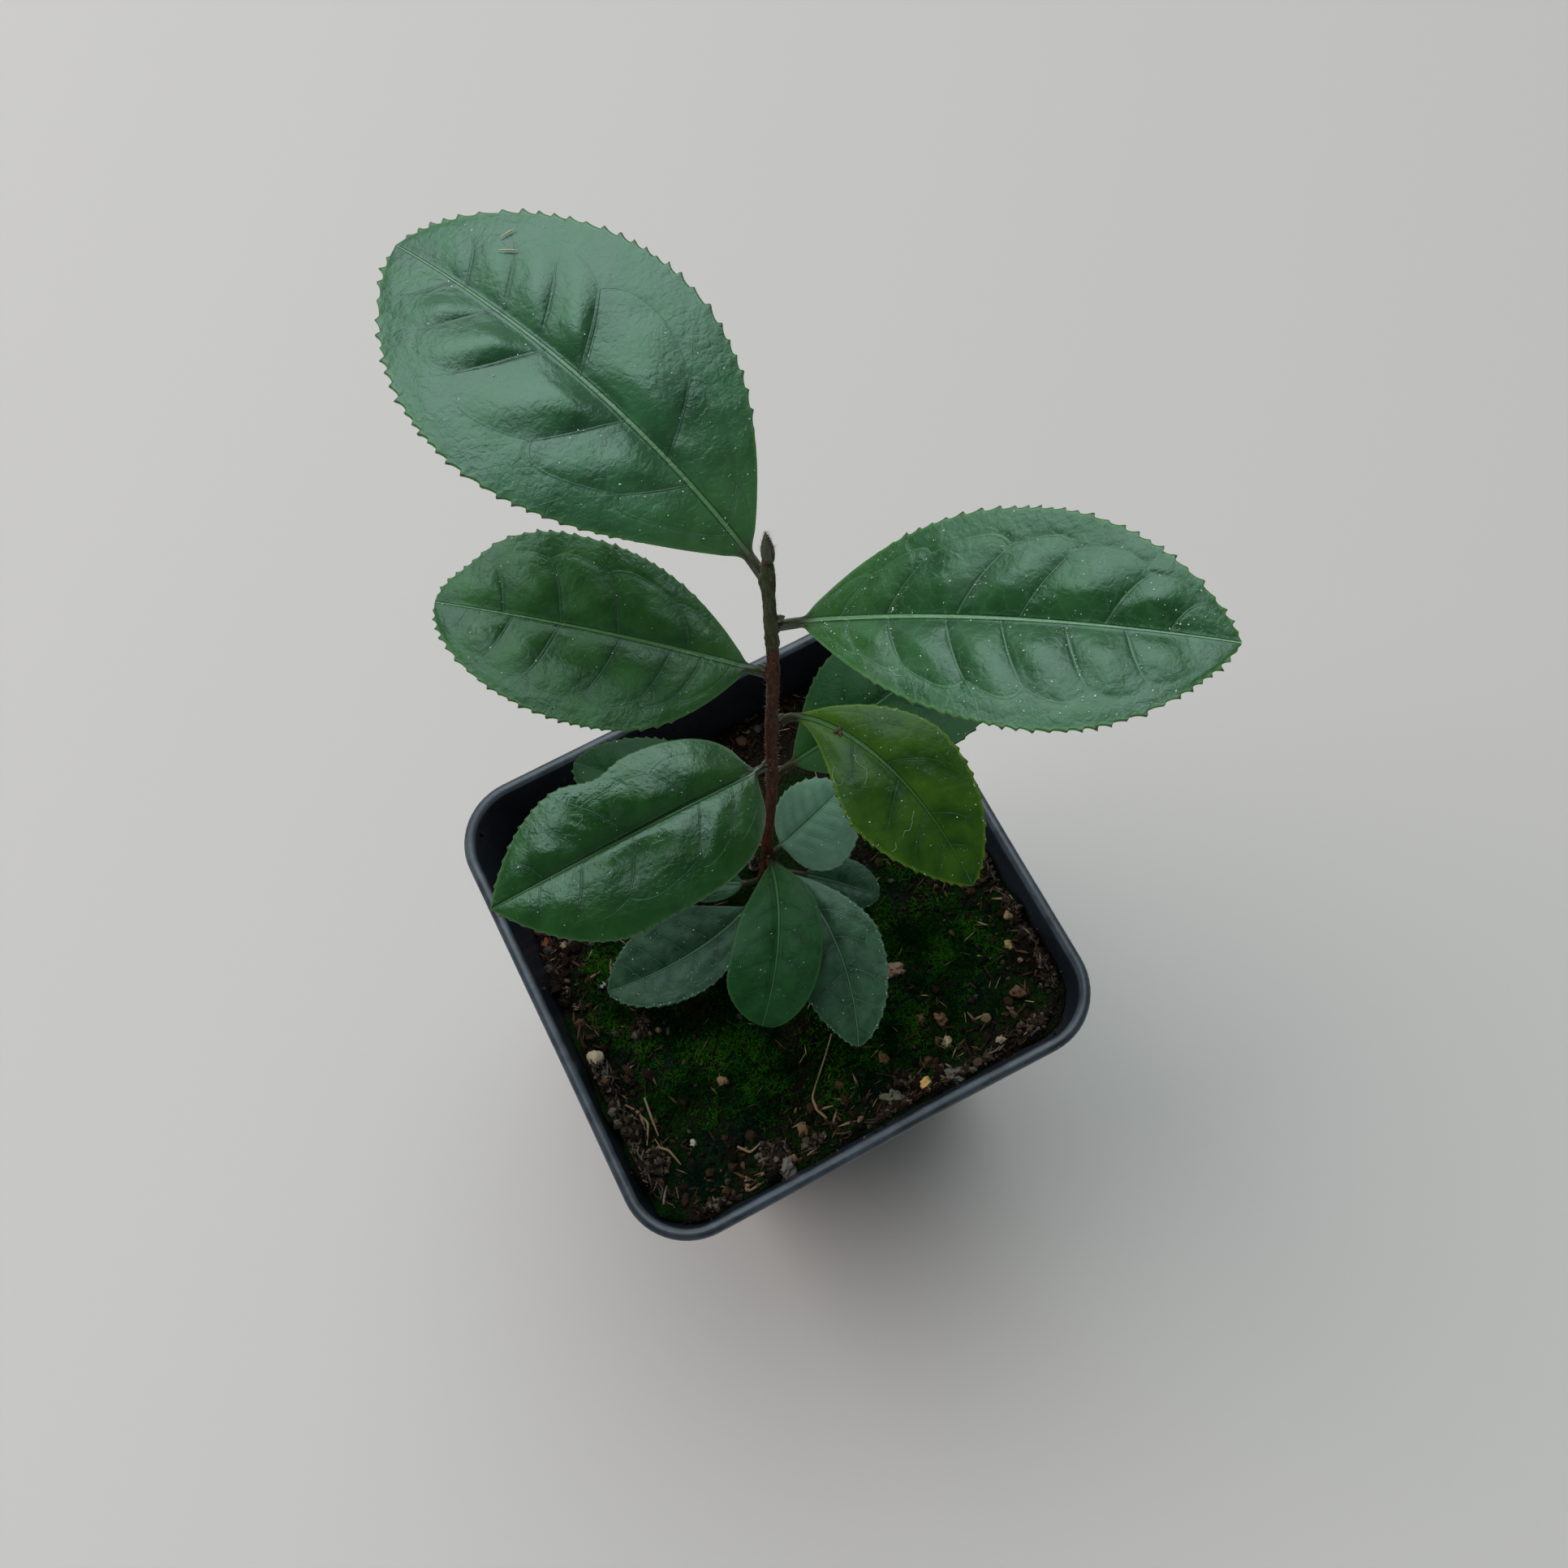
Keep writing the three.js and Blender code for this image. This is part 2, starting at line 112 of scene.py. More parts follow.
def link_bump(tree, shader, height, distance, strength=1.0):
    """Gives a shader small relief from a height, whose full range is distance in millimetres."""
    inputs = {"Height": height, "Distance": distance * MM, "Strength": strength}
    bump = add_node(tree, "Bump", inputs)
    tree.links.new(bump.outputs["Normal"], shader.inputs["Normal"])


def new_group(name, inputs, outputs):
    """An empty shader group. inputs is {name: (kind, default)} and outputs is {name: kind}."""
    group = bpy.data.node_groups.new(name, "ShaderNodeTree")
    for title, (kind, default) in inputs.items():
        made = group.interface.new_socket(title, in_out="INPUT", socket_type="NodeSocket" + kind)
        made.default_value = default
    for title, kind in outputs.items():
        group.interface.new_socket(title, in_out="OUTPUT", socket_type="NodeSocket" + kind)
    return group, group.nodes.new("NodeGroupInput"), group.nodes.new("NodeGroupOutput")


def use_group(tree, group, **inputs):
    """Places a group in a material. Underscores in an input's name stand for spaces."""
    placed = tree.nodes.new("ShaderNodeGroup")
    placed.node_tree = group
    for title, value in inputs.items():
        target = placed.inputs[title.replace("_", " ")]
        if isinstance(value, bpy.types.NodeSocket):
            tree.links.new(value, target)
        else:
            target.default_value = value
    return placed.outputs


# %% [markdown]
# ## The camera
#
# The photograph looks steeply down on the plant from about 36 cm above the floor. A camera can be aimed by
# three angles, or by the point that it looks at. The second is easier to read: the eye, the point where its
# middle ray meets the level of the pot's rim, and a small roll about that ray.

# %% Camera at the photograph's viewing angle
PHOTO_SIDE_PX = 1932
PHOTO_FOCAL_PX = 1800
SENSOR_WIDTH = 36
EYE = Vector((-16.6, -55.0, 356.6))
EYE_AIM = Vector((13.3, 20.2, 100.0))
EYE_ROLL_DEG = -6.1

camera_data = bpy.data.cameras.new("photo_camera")
camera_data.sensor_width = SENSOR_WIDTH
camera_data.lens = SENSOR_WIDTH * PHOTO_FOCAL_PX / PHOTO_SIDE_PX
camera_data.clip_start = 10 * MM
camera = bpy.data.objects.new("photo_camera", camera_data)
bpy.context.scene.collection.objects.link(camera)
aimed = (EYE_AIM - EYE).to_track_quat("-Z", "Y").to_matrix().to_4x4()
camera.matrix_world = Matrix.Translation(EYE * MM) @ aimed @ Matrix.Rotation(math.radians(EYE_ROLL_DEG), 4, "Z")
bpy.context.scene.camera = camera
print("lens", round(camera_data.lens, 2), "mm")

# %% [markdown]
# ## The floor and the light
#
# The pot stands outdoors on pale ground under a bright, overcast sky. A sky like that is one very large,
# soft lamp, but not an even one. It's brightest in one wide patch behind the plant and dull around it, and
# that difference is what draws the relief of glossy leaves: each swelling mirrors the bright patch on one
# flank and the dull sky on the other. So the world here is dull, with a bright patch that fades out and a
# paler band at the horizon that fills the shadows. A large area lamp on the left gives the pot its soft
# shadow, and the leaves don't mirror it. The standard view keeps the dark greens as deep as they are.

# %% Floor, sky and lamp
FLOOR_COLOUR = (0.488, 0.440, 0.425, 1)
SKY_COLOUR = (0.84, 0.98, 1.0, 1)
SKY_BRIGHT_WAY = Vector((0.18, 0.50, 0.847))
SKY_DULL = 0.12
SKY_BRIGHT = 3.9
SKY_HORIZON = 0.75

bpy.context.scene.view_settings.view_transform = "Standard"
world = bpy.data.worlds.new("overcast_sky")
world.use_nodes = True
sky_tree = world.node_tree
sky_way = add_node(sky_tree, "TexCoord").outputs["Generated"]
sky_inputs = {0: sky_way, 1: SKY_BRIGHT_WAY}
towards_bright = add_node(sky_tree, "VectorMath", sky_inputs, operation="DOT_PRODUCT").outputs["Value"]
sky = sky_tree.nodes["Background"]
sky.inputs["Color"].default_value = SKY_COLOUR
patch = ramp_of(sky_tree, towards_bright, 0.79, 0.985, SKY_DULL, SKY_BRIGHT)
upward = add_node(sky_tree, "SeparateXYZ", {0: sky_way}).outputs["Z"]
horizon = ramp_of(sky_tree, upward, 0.05, 0.55, SKY_HORIZON, 0.0)
sky_tree.links.new(math_of(sky_tree, "ADD", patch, horizon), sky.inputs["Strength"])
bpy.context.scene.world = world


def add_lamp(name, place, aim, size, watts, colour):
    """An area lamp at a place, in metres, turned towards another."""
    data = bpy.data.lights.new(name, "AREA")
    data.shape = "DISK"
    data.size = size
    data.energy = watts
    data.color = colour
    lamp = bpy.data.objects.new(name, data)
    lamp.location = place
    lamp.rotation_euler = (Vector(aim) - Vector(place)).to_track_quat("-Z", "Y").to_euler()
    bpy.context.scene.collection.objects.link(lamp)
    return lamp


soft_sky = add_lamp("soft_sky", (-1.05, 1.0, 1.2), (0, 0, 0.1), 1.9, 27, (0.98, 0.97, 0.955))
soft_sky.visible_glossy = False

floor_mesh = bpy.data.meshes.new("floor")
FLOOR_HALF = 3.0
floor_corners = [(-FLOOR_HALF, -FLOOR_HALF, 0), (FLOOR_HALF, -FLOOR_HALF, 0)]
floor_corners += [(FLOOR_HALF, FLOOR_HALF, 0), (-FLOOR_HALF, FLOOR_HALF, 0)]
floor_mesh.from_pydata(floor_corners, [], [(0, 1, 2, 3)])
floor = bpy.data.objects.new("floor", floor_mesh)
bpy.context.scene.collection.objects.link(floor)
floor_material, floor_tree, floor_shader = new_material("pale_floor", 0.9)
floor_shader.inputs["Base Color"].default_value = FLOOR_COLOUR
floor_mesh.materials.append(floor_material)

# %% [markdown]
# ## Dust, an effect that several finishes share
#
# Fine soil dust and water marks lie on the pot, the leaves, the bark and the old wood alike. They could be
# painted into each material, but then each would need the same nodes again. A shader group is built once
# and placed in each material with its own size and cover. It puts out two masks, a soft film and sharp
# specks, and the material decides what colour they are.

# %% Dust group


def build_dust():
    inputs = {"Film Scale": ("Float", 60.0), "Film Cover": ("Float", 0.4)}
    inputs |= {"Speck Scale": ("Float", 900.0), "Speck Size": ("Float", 0.07)}
    group, given, out = new_group("Dust", inputs, {"Film": "Float", "Specks": "Float"})
    place = add_node(group, "TexCoord").outputs["Object"]
    cloud = add_node(group, "TexNoise", {"Vector": place, "Scale": given.outputs["Film Scale"], "Detail": 5.0})
    fine = noise_of(group, 2600.0, 2.0, place=place)
    edge = math_of(group, "SUBTRACT", 0.85, given.outputs["Film Cover"])
    film = ramp_of(group, cloud.outputs["Fac"], edge, 1.0)
    film = math_of(group, "MULTIPLY", film, ramp_of(group, fine, 0.25, 0.75, 0.4, 1.0))
    group.links.new(film, out.inputs["Film"])
    cells = add_node(group, "TexVoronoi", {"Vector": place, "Scale": given.outputs["Speck Scale"]})
    dot = math_of(group, "LESS_THAN", cells.outputs["Distance"], given.outputs["Speck Size"])
    pick = add_node(group, "SeparateColor", {0: cells.outputs["Color"]}).outputs["Red"]
    gathered = ramp_of(group, cloud.outputs["Fac"], 0.4, 0.62, 0.97, 0.7)
    dot = math_of(group, "MULTIPLY", dot, math_of(group, "GREATER_THAN", pick, gathered))
    group.links.new(dot, out.inputs["Specks"])
    return group


dust = build_dust()
print("group Dust puts out", [s.name for s in dust.interface.items_tree if s.in_out == "OUTPUT"])

# %% [markdown]
# ## Small tools for meshes
#
# The plant's shapes follow formulas: a pot is a square swept up a profile, a stem is a ring swept up a
# line, and a leaf is a strip swept along its midrib. All three are rings of points joined by quads, so one
# helper makes any of them. Points are worked out as tables in numpy, which is far quicker than a loop over
# single vertices and keeps each formula on one line.

# %% Helpers that make meshes
piece_count = {}


def clamp01(value):
    return np.clip(value, 0.0, 1.0)


def smoothstep(value, low, high):
    share = clamp01((np.asarray(value, float) - low) / (high - low))
    return share * share * (3 - 2 * share)


def lerp(first, second, share):
    return first + (second - first) * share


def noise_at(points, size, seed=0.0):
    """Smooth noise from -1 to 1 at each point, with lumps about as long as size."""
    flat = np.asarray(points, float).reshape(-1, 3) / size + seed
    values = np.array([noise.noise(Vector(p)) for p in flat])
    return values.reshape(np.asarray(points).shape[:-1])


def finish_piece(piece, replaces=()):
    """Sets a finished object on the plant's one body, hides the solids it stands for, and counts its triangles."""
    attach(piece, BODY)
    if replaces:
        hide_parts(*replaces)
    piece_count[piece.name] = sum(len(face.vertices) - 2 for face in piece.data.polygons)
    return piece


def new_piece(name, points, faces, materials, replaces=(), indices=None, smooth=True):
    """A piece from points in millimetres and faces, with one material or several."""
    mesh = bpy.data.meshes.new(name)
    mesh.from_pydata((np.asarray(points, float).reshape(-1, 3) * MM).tolist(), [], faces)
    for material in materials if isinstance(materials, list) else [materials]:
        mesh.materials.append(material)
    if indices is not None:
        mesh.polygons.foreach_set("material_index", np.asarray(indices, np.int32))
    mesh.polygons.foreach_set("use_smooth", np.full(len(mesh.polygons), smooth))
    mesh.update()
    piece = bpy.data.objects.new(name, mesh)
    bpy.context.scene.collection.objects.link(piece)
    return finish_piece(piece, replaces)


def tube_faces(rings, count, first=0):
    """Quads between rings of count points, with a cap at each end: a closed skin that faces out."""
    ring, side = np.meshgrid(np.arange(rings - 1), np.arange(count), indexing="ij")
    a = ring * count + side
    b = ring * count + (side + 1) % count
    quads = np.stack([a, b, b + count, a + count], axis=-1).reshape(-1, 4) + first
    last = first + (rings - 1) * count
    caps = [list(range(first + count - 1, first - 1, -1)), list(range(last, last + count))]
    return quads.tolist() + caps


def set_values(piece, name, values):
    """Keeps three numbers for each point of a piece, for its material to read."""
    held = piece.data.attributes.new(name, "FLOAT_VECTOR", "POINT")
    held.data.foreach_set("vector", np.asarray(values, np.float32).reshape(-1))


# %% [markdown]
# ## The pot
#
# The real pot is blow-thin black plastic: a tapering square with round corners, a stepped collar, and a lip
# rolled flat and a little uneven by use. A cube with a bevel would give flat sides and even corners. Here
# one square outline with round corners is swept up a profile whose lip is a real curve, then the drain
# holes are cut with a Boolean, which is applied so that the mesh holds the true holes.

# %% Pot shape
POT_HEIGHT = 100
POT_RIM_HALF = 45
POT_RIM_RADIUS = 12
POT_FOOT_HALF = 32
POT_FOOT_RADIUS = 8
POT_WALL = 1.2
POT_FLOOR = 1.6
COLLAR_HEIGHT = 9
COLLAR_STEP = 1.1
LIP_WIDTH = 2.1
LIP_ROUND = 0.75
CORNER_STEPS = 14
SIDE_STEPS = 10
DRAIN_RADIUS = 3.2
DRAIN_COUNT = 8
DRAIN_CIRCLE = 19
SLOT_WIDTH = 4
SLOT_HEIGHT = 5
COLLAR_FOOT = POT_HEIGHT - COLLAR_HEIGHT


def wall_half(height):
    return lerp(POT_FOOT_HALF, POT_RIM_HALF - COLLAR_STEP, height / POT_HEIGHT)


def wall_radius(height):
    return lerp(POT_FOOT_RADIUS, POT_RIM_RADIUS - COLLAR_STEP, height / POT_HEIGHT)


def inner_half(height):
    return np.minimum(wall_half(height) - POT_WALL, POT_RIM_HALF - LIP_WIDTH)


def inner_radius(height):
    return wall_radius(height) - POT_WALL


def square_ring(half, radius, height):
    """A level square ring with round corners and points along its straight sides too."""
    points = []
    for corner in range(4):
        middle = math.pi / 4 + corner * math.pi / 2
        centre = np.array([math.copysign(half - radius, math.cos(middle)), 0.0])
        centre[1] = math.copysign(half - radius, math.sin(middle))
        for step in range(CORNER_STEPS + 1):
            angle = middle + (step / CORNER_STEPS - 0.5) * math.pi / 2
            points.append(centre + radius * np.array([math.cos(angle), math.sin(angle)]))
        start = points[-1]
        turn = middle + math.pi / 2
        end = np.array([math.copysign(half - radius, math.cos(turn)), math.copysign(half - radius, math.sin(turn))])
        end = end + radius * np.array([math.cos(turn - math.pi / 4), math.sin(turn - math.pi / 4)])
        for step in range(1, SIDE_STEPS):
            points.append(lerp(start, end, step / SIDE_STEPS))
    ring = np.zeros((len(points), 3))
    ring[:, :2] = points
    ring[:, 2] = height
    return ring


def pot_profile():
    """(half width, corner radius, height) from the foot up the outside, over the lip and down inside."""
    rows = [(POT_FOOT_HALF - 0.8, POT_FOOT_RADIUS - 0.8, 0.0)]
    rows.append((POT_FOOT_HALF - 0.25, POT_FOOT_RADIUS - 0.25, 0.15))
    rows.append((wall_half(0.8), wall_radius(0.8), 0.8))
    rows += [(wall_half(h), wall_radius(h), h) for h in np.linspace(6, COLLAR_FOOT - 0.6, 12)]
    rows.append((wall_half(COLLAR_FOOT) + 0.15, wall_radius(COLLAR_FOOT) + 0.15, COLLAR_FOOT - 0.15))
    collar = wall_half(COLLAR_FOOT) + COLLAR_STEP
    rows.append((collar - 0.25, wall_radius(COLLAR_FOOT) + COLLAR_STEP - 0.25, COLLAR_FOOT + 0.3))
    rows.append((collar, wall_radius(COLLAR_FOOT) + COLLAR_STEP, COLLAR_FOOT + 0.8))
    rows.append((POT_RIM_HALF, POT_RIM_RADIUS, POT_HEIGHT - 2.2))
    for step in range(7):
        angle = math.pi * step / 6
        middle = POT_RIM_HALF - LIP_WIDTH / 2
        half = middle + LIP_WIDTH / 2 * math.copysign(abs(math.cos(angle)) ** 0.7, math.cos(angle))
        rows.append((half, POT_RIM_RADIUS - (POT_RIM_HALF - half), POT_HEIGHT - LIP_ROUND * (1 - math.sin(angle))))
    rows.append((POT_RIM_HALF - LIP_WIDTH, POT_RIM_RADIUS - LIP_WIDTH, POT_HEIGHT - 2.4))
    rows += [(inner_half(h), inner_radius(h), h) for h in np.linspace(COLLAR_FOOT, POT_FLOOR + 1.5, 9)]
    rows.append((inner_half(POT_FLOOR) - 1.2, inner_radius(POT_FLOOR) - 1.2, POT_FLOOR))
    return rows


pot_rings = np.array([square_ring(*row) for row in pot_profile()])
warp = noise_at(pot_rings, 34.0, 3.1)[..., None] * smoothstep(pot_rings[..., 2:3], 60, 100)
outward = pot_rings * [1, 1, 0] / np.linalg.norm(pot_rings[..., :2], axis=-1, keepdims=True)
pot_rings = pot_rings + outward * (warp - 1) * 0.22 * smoothstep(pot_rings[..., 2:3], 60, 100)
pot_faces = tube_faces(len(pot_rings), pot_rings.shape[1])


def cutter(name, maker):
    """A solid to cut with, made by a bmesh operator."""
    shape = bmesh.new()
    maker(shape)
    mesh = bpy.data.meshes.new(name)
    shape.to_mesh(mesh)
    shape.free()
    made = bpy.data.objects.new(name, mesh)
    bpy.context.scene.collection.objects.link(made)
    return made


def cut_away(piece, tools):
    """Cuts each tool out of a piece for good, and removes the tool."""
    for tool in tools:
        modifier = piece.modifiers.new("cut", "BOOLEAN")
        modifier.object = tool
        modifier.solver = "EXACT"
    bpy.context.view_layer.update()
    shown = piece.evaluated_get(bpy.context.evaluated_depsgraph_get())
    cut = bpy.data.meshes.new_from_object(shown)
    piece.modifiers.clear()
    piece.data = cut
    for tool in tools:
        bpy.data.objects.remove(tool)


def drain_cutters():
    tools = []
    for hole in range(DRAIN_COUNT):
        angle = (hole + 0.5) * 2 * math.pi / DRAIN_COUNT
        place = Vector((math.cos(angle), math.sin(angle), 0)) * DRAIN_CIRCLE * MM
        size = {"segments": 40, "radius1": DRAIN_RADIUS * MM, "radius2": DRAIN_RADIUS * MM}
        tools.append(cutter("drain", lambda s: bmesh.ops.create_cone(
            s, cap_ends=True, depth=POT_FLOOR * 4 * MM, matrix=Matrix.Translation(place), **size)))
    reach = (POT_FOOT_HALF - POT_FOOT_RADIUS) * math.sqrt(2) + POT_FOOT_RADIUS
    for corner in range(4):
        turn = Matrix.Rotation(math.pi / 4 + corner * math.pi / 2, 4, "Z")
        block = Matrix.Diagonal((POT_FOOT_RADIUS * 2 * MM, SLOT_WIDTH * MM, SLOT_HEIGHT * 2 * MM, 1))
        place = turn @ Matrix.Translation((reach * MM, 0, 0)) @ block
        tools.append(cutter("slot", lambda s: bmesh.ops.create_cube(s, size=1, matrix=place)))
    return tools


# %% [markdown]
# ### Black pot plastic
#
# Black nursery plastic is never quite black: it mirrors the sky as a soft bluish grey, has fine moulding
# lines, and gathers soil dust and dried splashes towards the lip. Its shader is plain and dark, with the
# dust group laid over the colour and the roughness, and a fine noise as relief. The top of the lip is
# painted a lighter bluish grey in patches, partly for wear and partly as a painted sheen.

# %% Pot material and piece


def pot_plastic():
    material, tree, shader = new_material("pot_plastic", 0.4, specular=0.5)
    place = add_node(tree, "TexCoord").outputs["Object"]
    masks = use_group(tree, dust, Film_Scale=45.0, Film_Cover=0.42, Speck_Scale=900.0, Speck_Size=0.1)
    height = add_node(tree, "SeparateXYZ", {0: place}).outputs["Z"]
    near_lip = ramp_of(tree, height, 0.05, 0.1, 0.25, 1.0)
    film = math_of(tree, "MULTIPLY", masks["Film"], near_lip)
    base = mix_of(tree, noise_of(tree, 120.0, 3.0, place=place), (0.006, 0.008, 0.012, 1), (0.013, 0.017, 0.025, 1))
    # The top of the lip turns a lighter bluish grey in patches: partly wear, partly a painted sheen of the sky.
    lip_wear_and_sheen = ramp_of(tree, height, 0.0985, 0.0998, 0.0, 0.28)
    lip_wear_and_sheen = math_of(tree, "MULTIPLY", lip_wear_and_sheen, ramp_of(tree, noise_of(tree, 260.0, 4.0, 0.5, place), 0.25, 0.7))
    base = mix_of(tree, lip_wear_and_sheen, base, (0.085, 0.105, 0.135, 1))
    dusty = mix_of(tree, math_of(tree, "MULTIPLY", film, 0.3), base, (0.10, 0.11, 0.125, 1))
    specks = math_of(tree, "MULTIPLY", masks["Specks"], 0.5)
    tree.links.new(mix_of(tree, specks, dusty, (0.22, 0.19, 0.15, 1)), shader.inputs["Base Color"])
    tree.links.new(ramp_of(tree, film, 0.0, 0.8, 0.33, 0.75), shader.inputs["Roughness"])
    link_bump(tree, shader, noise_of(tree, 1500.0, 4.0, place=place), 0.06, 0.5)
    return material


pot = new_piece("pot_shell", pot_rings, pot_faces, pot_plastic(), ["pot"])
cut_away(pot, drain_cutters())
pot.data.polygons.foreach_set("use_smooth", np.full(len(pot.data.polygons), True))
pot.data.set_sharp_from_angle(angle=math.radians(50))
print("pot faces", len(pot.data.polygons))

# %% [markdown]
# ## The line of the stem
#
# The stem leans a little, more so low down. The same rule as in the solids gives its axis and its radius
# at any height, because the leaves, the buds and the hairs all start from it.

# %% Stem line, and the height of the potting mix
MIX_TOP = 90.6
MIX_SINK = 8
MIX_SINK_START = -5
MIX_SINK_SKEW = 0.35
MIX_RIPPLE = 0.5
MIX_RIPPLE_LENGTH = 11
GAP = 0.3
SEAT_DEPTH = 1.6
STEM_FOOT = (2.4, 8.3)
STEM_TIP = (8.2, 5.2)
STEM_TOP = 224
STEM_BOW = 0.55
STEM_FOOT_RADIUS = 1.0
STEM_TIP_RADIUS = 0.7
STEM_FLARE = 0.25
STEM_FLARE_HEIGHT = 4


def mix_top(x, y):
    sunk = clamp01((y - MIX_SINK_SKEW * x - MIX_SINK_START) / POT_RIM_HALF) ** 2 * MIX_SINK
    ripple = np.sin(x / MIX_RIPPLE_LENGTH + 1) * np.cos(y / MIX_RIPPLE_LENGTH)
    return MIX_TOP - sunk + ripple * MIX_RIPPLE


STEM_SEAT = float(mix_top(*STEM_FOOT)) - SEAT_DEPTH


def stem_point(height):
    height = np.asarray(height, float)
    along = (height - STEM_SEAT) / (STEM_TOP - STEM_SEAT)
    eased = along * (1 + STEM_BOW * (1 - along))
    x = lerp(STEM_FOOT[0], STEM_TIP[0], eased)
    y = lerp(STEM_FOOT[1], STEM_TIP[1], eased)
    return np.stack([x, y, height], axis=-1)


def stem_radius(height):
    height = np.asarray(height, float)
    along = (height - STEM_SEAT) / (STEM_TOP - STEM_SEAT)
    flare = STEM_FLARE * np.exp(-np.maximum(height - STEM_SEAT, 0) / STEM_FLARE_HEIGHT)
    return lerp(STEM_FOOT_RADIUS, STEM_TIP_RADIUS, along) + flare


print("stem from", stem_point(STEM_SEAT).round(1), "to", stem_point(STEM_TOP).round(1))

# %% [markdown]
# ## What each leaf is like
#
# A tea leaf grows out from the stem, levels off and droops. The first numbers of each entry are those of
# its solid: where it starts, which way it heads, how it turns and droops, and how long and wide it is.
# The rest is what only shows close up: where the side veins leave the midrib on each half, as shares of
# the blade, how strongly the skin swells between them, how the midrib stands, and how deep the teeth are.

